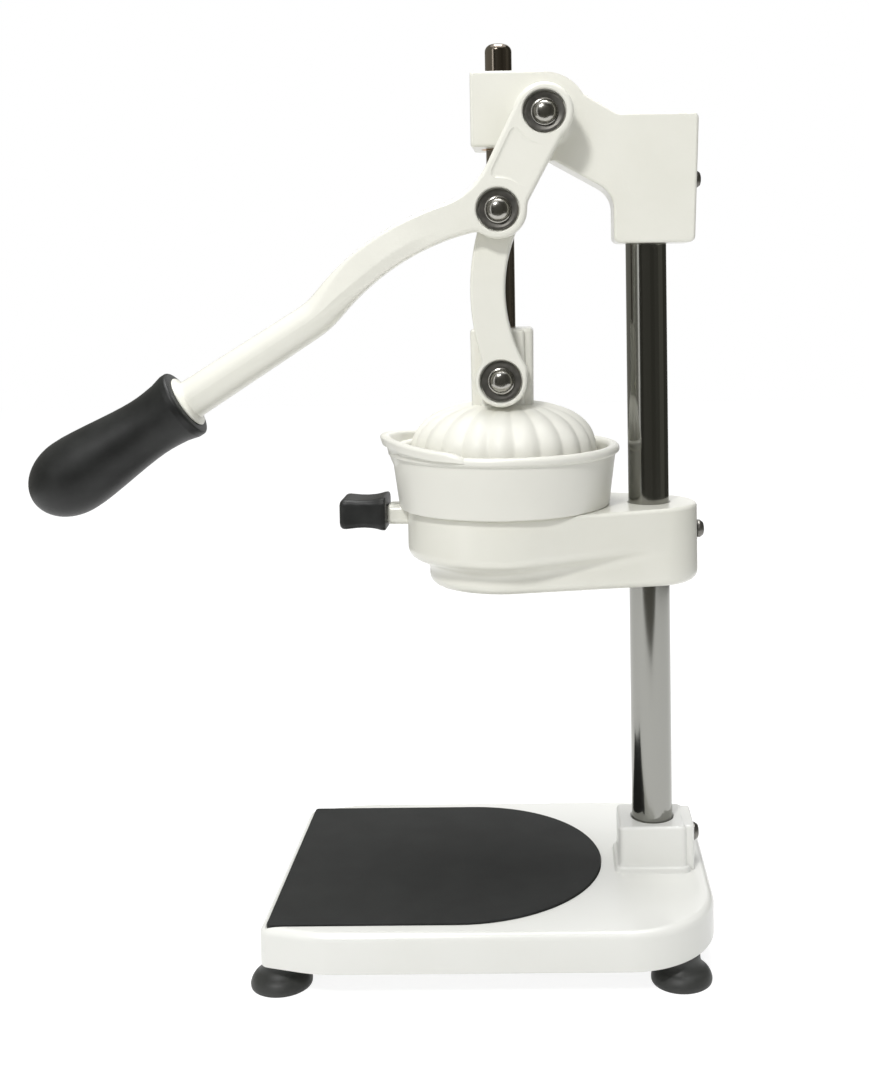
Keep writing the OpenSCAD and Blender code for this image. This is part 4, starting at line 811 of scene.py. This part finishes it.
heights = 344.5 - 57.8 * np.cos(np.linspace(0, np.pi, 180))
bosses = [np.sqrt(np.maximum(0, LINK_BOSS ** 2 - (heights - z) ** 2))
          + np.where(abs(heights - z) < LINK_BOSS + 0.01, 0, NOWHERE) for z in (YOKE_Z, KNEE_Z)]
within = np.where((heights > YOKE_Z) & (heights < KNEE_Z), 0, NOWHERE)
left_side = -np.minimum(soft_greatest([*bosses, 15.3 - bow(116.5) + within]), 15.3)
right_side = np.minimum(soft_greatest([*bosses, 2.7 + bow(79) + within]), 13.6)
link_outline = np.concatenate([np.column_stack([right_side, heights]),
                               np.column_stack([left_side, heights])[::-1]])
link_outline = even(link_outline, 1.2, soft=0.8)
washer_recess = rounded([[0, -4.8, 0], [11.15, -4.8, 0.5], [11.15, -0.7, 0.7], [12.3, 0.6, 0],
                         [0, 0.6, 0]], closed=False)
link_shell = solid(
    skin(link_outline, soft_block(21.5, 32.5, 1.6), upright=True),
    cut=[turned(washer_recess, (0, LINK_FRONT, YOKE_Z), TO_USER), pivot_bore(YOKE_PIVOT, -40, 0),
         pivot_bore(KNEE_PIVOT, -40, 0), pivot_bore(KNEE_PIVOT, -25.6, 0, 7.1)])
dress("enamelled_link", link_shell, enamel, "link", body="link")

# %% [markdown]
# ## Lever
# The lever is one casting that changes shape along its way: a flat crank between two bosses, a flat
# curved arm, and a round shaft for the grip. The crank is a skin whose outline stays open where the
# arm leaves it. From that edge on, the arm's section, a rectangle with soft corners, is carried
# along its curve and grows into a circle, so both parts share their edge and there is no seam.

# %% The crank's open outline
crank_down = (KNEE_PIVOT - HEAD_PIVOT) / np.linalg.norm(KNEE_PIVOT - HEAD_PIVOT)
crank_left = np.array([crank_down[1], -crank_down[0]])
ARM_CENTRE, ARM_R, ARM_W = np.array([14.24, 257.72]), 131.85, 18.5
HOLLOW_CENTRE, HOLLOW_R = np.array([-38.74, 427.76]), 37.0
BOSS_R, CUT_AT = 15.0, 110.0


def turn_of(direction):
    """The angle of a direction, in degrees."""
    return math.degrees(math.atan2(direction[1], direction[0]))


def arc_between(centre, radius, start, end, spacing=0.6):
    """The circle's points from the direction of one point to the direction of another."""
    return arc(centre, radius, turn_of(start - centre), turn_of(end - centre), spacing)


def meet(centre, radius, start, direction):
    """Where the line from start along direction meets a circle, at the far crossing."""
    direction = direction / np.linalg.norm(direction)
    gap = start - centre
    b = gap @ direction
    return start + direction * (-b + math.sqrt(b * b - gap @ gap + radius ** 2))


right_head, right_knee = HEAD_PIVOT - crank_left * 13.8, KNEE_PIVOT - crank_left * 11.7
knee_leave = meet(KNEE_PIVOT, BOSS_R, right_knee, right_head - right_knee)
head_enter = meet(HEAD_PIVOT, BOSS_R, right_head, right_knee - right_head)
gap = np.linalg.norm(ARM_CENTRE - KNEE_PIVOT)
low_r = ARM_R - ARM_W / 2
inner = math.degrees(math.acos((gap ** 2 + BOSS_R ** 2 - low_r ** 2) / (2 * gap * BOSS_R)))
knee_low = turn_of(ARM_CENTRE - KNEE_PIVOT) - inner
low_meet = KNEE_PIVOT + BOSS_R * heading(knee_low)
hollow_arm, hollow_crank = np.array([-27.73, 392.43]), np.array([-5.58, 411.35])
crank_edge = np.concatenate([
    arc(ARM_CENTRE, low_r, CUT_AT + 3, turn_of(low_meet - ARM_CENTRE), 0.6),
    arc(KNEE_PIVOT, BOSS_R, knee_low, turn_of(knee_leave - KNEE_PIVOT), 0.6),
    arc(HEAD_PIVOT, BOSS_R, turn_of(head_enter - HEAD_PIVOT), turn_of(crank_left), 0.6),
    arc_between(HOLLOW_CENTRE, HOLLOW_R, hollow_crank, hollow_arm),
    arc(ARM_CENTRE, ARM_R + ARM_W / 2, turn_of(hollow_arm - ARM_CENTRE), CUT_AT + 3, 0.6)])
crank_edge = even(crank_edge, 1.2, soft=1.6, closed=False)
from_centre = crank_edge - ARM_CENTRE
keep = np.flatnonzero(np.degrees(np.arctan2(from_centre[:, 1], from_centre[:, 0])) < CUT_AT)
crank_edge = crank_edge[keep[0]:keep[-1] + 1]
print("the crank's edge has", len(crank_edge), "points")

# %% [markdown]
# The arm's front isn't quite flat: a low ridge of three lines runs along it and fades out where the
# shaft gets round. Every section has the same points in the same order, from the back of one side
# over the ridge to the back of the other, and the crank's cut edge is the first of them.

# %% The lever's surface
LEVER_MID, FLAT_T, EDGE = 38.5, 5.5, 2.3
BEND_AT, SHAFT_LEAN, SHAFT_LENGTH = 143.5, 32.2, 82.5
RIDGE, RIDGE_HEIGHT = np.array([-3.5, -2.8, -2.1]), np.array([0.88, 0.98, 0.93])
ROUND_RIDGE = np.array([-0.004, 0, 0.004])  # keeps the three lines apart once they have closed up
corner_turn = np.radians(np.linspace(0, 90, 11))


def side_rows(thick, corner):
    """How far in and how far forward the rows of one side lie, from back to front: two quarter
    circles of radius corner at the back and front of a side that is 2 * thick deep."""
    inset = corner * (1 - np.sin(corner_turn))
    forward = -thick + corner * (1 - np.cos(corner_turn))
    return np.concatenate([inset, inset[::-1]]), np.concatenate([forward, -forward[::-1]])


def ease(a, b, s):
    """0 before a, 1 after b, and 3t^2 - 2t^3 between them."""
    t = np.clip((s - a) / (b - a), 0, 1)
    return t * t * (3 - 2 * t)


inset, forward = side_rows(FLAT_T, EDGE)
side_count, edge_count = len(inset), len(crank_edge)
flat = crank_edge[None] + inwards(crank_edge, closed=False)[None] * inset[:, None, None]
crank_y = np.repeat(-LEVER_MID - forward[:, None], edge_count, 1)
crank_points = np.stack([flat[..., 0], crank_y, flat[..., 1]], -1).reshape(-1, 3)
middle_x, middle_z = (ARM_CENTRE + (ARM_R + np.append(RIDGE, 0))[:, None] * heading(CUT_AT)).T
middle_y = -LEVER_MID + FLAT_T * np.array([-1, -1, -1, 1])
lever_points = [crank_points, np.column_stack([middle_x, middle_y, middle_z])]

front_mid = len(crank_points) + np.arange(3)
front_mid, back_mid, first = front_mid.tolist(), len(crank_points) + 3, len(crank_points) + 4
front_row = [(side_count - 1) * edge_count + k for k in range(edge_count)]
faces = grid_faces(side_count, edge_count, wrap_cols=False)
faces += [front_row + front_mid[::-1], list(range(edge_count))[::-1] + [back_mid]]
ring = [k * edge_count for k in range(side_count)] + front_mid
ring += [k * edge_count + edge_count - 1 for k in range(side_count)][::-1] + [back_mid]

bend = ARM_CENTRE + ARM_R * heading(BEND_AT)
shaft = -heading(SHAFT_LEAN)
path = even(np.concatenate([arc(ARM_CENTRE, ARM_R, CUT_AT, BEND_AT, 0.5),
                            bend + shaft * np.linspace(0.5, SHAFT_LENGTH, 160)[:, None]]),
            0.5, soft=5, closed=False)
run = run_length(path)
bend_run = np.radians(BEND_AT - CUT_AT) * ARM_R
collar = run[-1] - np.array([3.6, 2.6, 2.1, 1.7, 1.4, 1.1, 0.6, 0.2, 0.0])
stations = np.concatenate([np.arange(1.5, run[-1] - 4.5, 1.5), collar])
at = at_run(path, run, stations)
ahead = at_run(path, run, stations + 0.5) - at_run(path, run, stations - 0.5)
ahead /= np.linalg.norm(ahead, axis=1)[:, None]
outward = np.stack([ahead[:, 1], -ahead[:, 0]], 1)

half_width = 9.25 + 1.0 * np.clip((stations - bend_run) / 80, 0, 1)
roundness = ease(bend_run - 34, bend_run + 8, stations)
thick = FLAT_T + (half_width - FLAT_T) * roundness
corner = EDGE + (half_width * 0.999 - EDGE) * roundness
crown = 1.25 * ease(0, 26, stations) * (1 - roundness)
collar_r = np.interp(stations, run[-1] - np.array([3.6, 2.4, 1.6, 1.2, 0.9, 0.3, 0.0]),
                     [0, 0.2, 2.0, 3.3, 3.7, 3.75, 3.3])
for k in range(len(stations)):
    inset, forward = side_rows(thick[k] + collar_r[k], corner[k] + collar_r[k])
    reach = half_width[k] + collar_r[k] - inset
    ridge = RIDGE * (1 - roundness[k]) + ROUND_RIDGE
    across = np.concatenate([-reach, ridge, reach[::-1], [0]])
    lift = np.concatenate([forward, thick[k] + collar_r[k] + crown[k] * RIDGE_HEIGHT,
                           forward[::-1], [-thick[k] - collar_r[k]]])
    x, z = (at[k] + across[:, None] * outward[k]).T
    lever_points.append(np.column_stack([x, -LEVER_MID - lift, z]))
    new = list(range(first, first + len(across)))
    faces += [list(quad) for quad in zip(ring, ring[1:] + ring[:1], new[1:] + new[:1], new)]
    ring, first = new, first + len(across)
faces.append(ring)

# %% [markdown]
# A shallow pocket is pressed into the crank's front between the bosses, deeper towards its right
# side, and each boss has a recess for a washer and a bore for its screw.

# %% The crank's pocket and the lever's bores
POCKET_CLEAR = 17.5  # from a pivot to the pocket's round end
along_crank = np.linspace(0, 1, 80)[:, None]
sides = [(HEAD_PIVOT + crank_left * 9.8, KNEE_PIVOT + crank_left * 9.8),
         (KNEE_PIVOT - crank_left * 6.6, HEAD_PIVOT - crank_left * 8.6)]
sides = [start + (end - start) * along_crank for start, end in sides]
left, right = [line[(np.linalg.norm(line - HEAD_PIVOT, axis=1) > POCKET_CLEAR)
                    & (np.linalg.norm(line - KNEE_PIVOT, axis=1) > POCKET_CLEAR)] for line in sides]
pocket = np.concatenate([left, arc_between(KNEE_PIVOT, POCKET_CLEAR, left[-1], right[0])[1:-1],
                         right, arc_between(HEAD_PIVOT, POCKET_CLEAR, right[-1], left[0])[1:-1]])
pocket_profile = [[0, 43.2], [-0.6, 43.26], [-1.1, 43.45], [-1.6, 43.85], [-2.4, 44.7]]
pocket_points, pocket_faces = skin(even(pocket, 0.8, soft=1.6), pocket_profile, upright=True)
to_left = (pocket_points[:, [0, 2]] - HEAD_PIVOT) @ crank_left
pocket_points[:, 1] -= 0.72 * np.clip((8 - to_left) / 15, 0, 1)
pivots = (HEAD_PIVOT, KNEE_PIVOT)
lever_shell = solid(
    (np.concatenate(lever_points), faces),
    cut=[(pocket_points, pocket_faces)]
        + [turned(washer_recess, (p[0], LEVER_FRONT, p[1]), TO_USER) for p in pivots]
        + [pivot_bore(p, -50, -20) for p in pivots])
dress("enamelled_lever", lever_shell, enamel, "lever", body="lever")

# %% [markdown]
# The grip is moulded rubber, turned round the shaft's axis: a lip against the collar, a waist for
# the fingers, a bulb for the palm and a rounded nose.

# %% The grip
grip_at = bend + shaft * SHAFT_LENGTH
grip_profile = np.concatenate([
    rounded([[0, 0, 0], [15.5, 0, 0.4], [18.4, 0.5, 1.6], [18.4, 4.2, 2.5], [16.9, 10, 9]],
            closed=False),
    [[16.2, 16], [15.95, 20], [15.9, 24], [16.15, 29], [16.7, 35], [17.5, 42], [18.5, 50],
     [19.4, 58], [19.9, 64], [20.0, 69]],
    [[20 * math.cos(t), 69 + 25 * math.sin(t)] for t in np.radians(np.linspace(6, 90, 18))]])
grip_profile[-1, 0] = 0
grip_shell = turned(grip_profile, (grip_at[0], -LEVER_MID, grip_at[1]), (shaft[0], 0, shaft[1]))
dress("rubber_grip", grip_shell, rubber, "lever_grip", body="lever",
      level=False)

# %% [markdown]
# ## Pivots
# Three domed screws sit in recesses, each on a dished washer. They shine, and the eye goes to them
# first, so both are turned from their own profiles, with small rounded edges that catch the light.

# %% Domed screws and dished washers
washer = rounded([[4.15, 0, 0.2], [10.5, 0, 0.2], [10.5, 1.4, 0.35], [9.2, 1.4, 0.6],
                  [7.0, 0.95, 1], [4.15, 0.95, 0.2]])
SEAT = 1.4  # height of a screw's head over the washer's back
flange = [[4, SEAT], [7.0, SEAT], [7.05, SEAT + 0.25], [6.9, SEAT + 0.6], [6.5, SEAT + 0.85],
          [6.1, SEAT + 0.95], [5.95, SEAT + 1.15]]
dome_turn = np.radians(np.linspace(0, 90, 18))
dome = np.column_stack([5.9 * np.cos(dome_turn) ** 0.85, SEAT + 1.5 + 3.3 * np.sin(dome_turn)])
dome[-1, 0] = 0
for name, pivot, washer_y, end_y, body in (("head_pivot", HEAD_PIVOT, -39.5, 26.0, "root"),
                                           ("knee", KNEE_PIVOT, -39.2, LEVER_BACK, "lever"),
                                           ("yoke", YOKE_PIVOT, -28.0, 22.0, "ram")):
    place, length = (pivot[0], washer_y, pivot[1]), washer_y - end_y
    dress(f"dished_{name}_washer", turned(washer, place, TO_USER, 72, ring=True), dark_steel,
          name + "_washer", body=body, level=False)
    shank = [[0, length], [3.6, length], [4, length + 0.4]]
    screw = turned(np.concatenate([shank, flange, dome]), place, TO_USER, 72)
    dress(f"domed_{name}_screw", screw, bright_steel, name + "_bolt", body=body, level=False)

# %% [markdown]
# ## Small parts kept from the CAD model
# The strainer, bushes, pins, nuts and inner screws already have their true shapes. They stay, and
# only their finish changes.

# %% Finishes for the CAD nodes that stay
kept = {plastic: ["strainer"], bronze: ["guide_bush_upper", "guide_bush_lower"],
        bright_steel: ["foot_screws", "column_plug", "column_bolt", "column_washer", "rod_pin",
                       "bell_screw", "bell_washer", "head_pivot_nut", "knee_nut", "yoke_nut"]}
for material, names in kept.items():
    for name in names:
        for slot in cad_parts[name].material_slots:
            slot.material = material
print(sum(map(len, kept.values())), "CAD nodes keep their shape")

# %% [markdown]
# ## Floor, light and camera
# A product photograph of such a press has a white ground and soft light from above and the left. The
# floor is a plain pale sheet that keeps a faint shadow. The camera sees the world behind it as
# white, and so do mirrors and clear things, while the object itself is lit at a plain level. Glowing
# dark and grey sheets stand beside the set and one lies before it, where a photographer puts screens
# and a cloth. Only reflections see them: they are painted reflections that give the chrome its dark
# bands.

# %% The floor and the world
FLOOR_HALF, FLOOR_COUNT = 3.0, 9


def seen_directly(tree):
    """1 for a ray from the camera, off a mirror or through something clear, and 0 for the light
    that falls on the object: the sum of the three kinds, held at 1."""
    ray = add_node(tree, "ShaderNodeLightPath").outputs
    seen = ray["Is Camera Ray"]
    for kind in ("Is Glossy Ray", "Is Transmission Ray"):
        seen = add_node(tree, "ShaderNodeMath", [(0, seen), (1, ray[kind])], operation="ADD",
                        use_clamp=True).outputs[0]
    return seen


side = np.linspace(-FLOOR_HALF, FLOOR_HALF, FLOOR_COUNT)
floor_x, floor_y = np.meshgrid(side, side, indexing="ij")
floor_points = np.stack([floor_x.ravel(), floor_y.ravel(), np.zeros(FLOOR_COUNT ** 2)], 1)
floor_faces = grid_faces(FLOOR_COUNT, FLOOR_COUNT, wrap_cols=False)
floor = as_object("floor", floor_points, [face[::-1] for face in floor_faces])

paper = bpy.data.materials.new("white paper ground")
tree = empty_tree(paper)
seen = seen_directly(tree)
matt = add_node(tree, "ShaderNodeBsdfDiffuse", [("Color", screen("E4E4E2"))])
half = add_node(tree, "ShaderNodeBsdfDiffuse", [("Color", screen("9C9C9B"))])
glow = add_node(tree, "ShaderNodeEmission", [("Color", (1, 1, 1, 1)), ("Strength", 0.86)])
lit = add_node(tree, "ShaderNodeAddShader", [(0, half.outputs[0]), (1, glow.outputs[0])])
mixed = add_node(tree, "ShaderNodeMixShader",
                 [("Fac", seen), (1, matt.outputs[0]), (2, lit.outputs[0])])
add_node(tree, "ShaderNodeOutputMaterial", [("Surface", mixed.outputs[0])])
floor.data.materials.append(paper)

world = bpy.data.worlds.new("soft studio")
bpy.context.scene.world = world
tree = empty_tree(world)
seen = seen_directly(tree)
soft = add_node(tree, "ShaderNodeBackground", [("Color", screen("FBFCFF")), ("Strength", 0.38)])
white = add_node(tree, "ShaderNodeBackground", [("Color", (1, 1, 1, 1)), ("Strength", 1.0)])
mixed = add_node(tree, "ShaderNodeMixShader",
                 [("Fac", seen), (1, soft.outputs[0]), (2, white.outputs[0])])
add_node(tree, "ShaderNodeOutputWorld", [("Surface", mixed.outputs[0])])
print("floor", 2 * FLOOR_HALF, "m wide, world", world.name)

# %% The lamps and the sheets of painted reflection
def lamp(name, place, target, size, watts):
    """A square area lamp at place, in metres, that looks at target."""
    data = bpy.data.lights.new(name, "AREA")
    data.size, data.energy = size, watts
    place_at(put(name, data), *axes(np.subtract(place, target)), place)


lamp("key softbox", (-0.33, -1.18, 1.30), (0.06, 0, 0.30), 0.2, 13.0)
lamp("fill softbox", (-1.1, -1.7, 0.7), (0.06, 0, 0.25), 1.2, 2.4)
lamp("top softbox", (0.06, 0.1, 1.9), (0.06, 0, 0.25), 0.9, 24)


def round_sheet(name, near, far, grey, middle_x=0.08, count=40):
    """A glowing sheet of one grey that only reflections see: a painted reflection. near and far are
    its two edges, each as (radius, height, first turn, last turn) round the press, with turns in
    degrees from the user's side, positive to the right: point = centre + radius * (sin t, -cos t)."""
    rows = []
    for radius, height, first_turn, last_turn in (near, far):
        t = np.radians(np.linspace(first_turn, last_turn, count))
        rows.append(np.stack([middle_x + radius * np.sin(t), -radius * np.cos(t),
                              np.full(count, height)], 1))
    made = as_object(name, np.concatenate(rows), grid_faces(2, count, wrap_cols=False))
    made.visible_camera = made.visible_diffuse = False
    made.visible_shadow = made.visible_transmission = False
    material = bpy.data.materials.new(name)
    tree = empty_tree(material)
    glow = add_node(tree, "ShaderNodeEmission", [("Color", screen(grey)), ("Strength", 1.0)])
    add_node(tree, "ShaderNodeOutputMaterial", [("Surface", glow.outputs[0])])
    made.data.materials.append(material)


# Painted reflections: glowing bands of grey beside the set, whose different greys paint the chrome's
# dark bands and streaks.
PAINTED_REFLECTION_BANDS = ((-42, -22, "43423C"), (-22, 22, "56554F"), (22, 45, "4D4C46"), (45, 70, "55544E"),
           (70, 100, "6A6962"), (100, 152, "4A4943"))
for start, end, grey in PAINTED_REFLECTION_BANDS:
    round_sheet(f"painted reflection band {start}", (0.84, 0.0, start, end), (0.84, 1.5, start, end), grey)
round_sheet("painted reflection grey band", (0.86, 0.0, -170, -52), (0.86, 1.5, -170, -52), "8E8D86")
# A painted reflection: a glowing grey sheet on the floor before the press, which only reflections
# see.
round_sheet("painted floor reflection", (0.50, 0.001, 2, 10), (0.86, 0.001, -48, 38), "716F68")
print(len(bpy.data.lights), "lamps,", len(PAINTED_REFLECTION_BANDS) + 1, "sheets of painted reflection beside the set and one before it")

# %% [markdown]
# The camera stands about 740 mm in front of the press axis and 355 mm high. It leans a little down
# and its view is shifted, so that the picture frames the press much as the photograph does.

# %% The camera
yaw, pitch, roll = 0.0107, 0.0363, 0.0141
ahead = np.array([-math.sin(yaw) * math.cos(pitch), math.cos(yaw) * math.cos(pitch),
                  -math.sin(pitch)])
right = np.array([math.cos(yaw), math.sin(yaw), 0.0])
down = np.cross(ahead, right)
right, down = (math.cos(roll) * right + math.sin(roll) * down,
               -math.sin(roll) * right + math.cos(roll) * down)
place = (np.array([24.67, -739.8, 355.5]) + PRESS_AXIS) * MM
camera_data = bpy.data.cameras.new("portrait")
camera_data.lens, camera_data.sensor_width = 45.66, 36.0
camera_data.shift_x, camera_data.shift_y = -0.0914, -0.2
camera = put("portrait", camera_data)
place_at(camera, right, -down, -ahead, place)
bpy.context.scene.camera = camera
bpy.context.scene.view_settings.view_transform = "Standard"
print("camera at", np.round(place, 3))
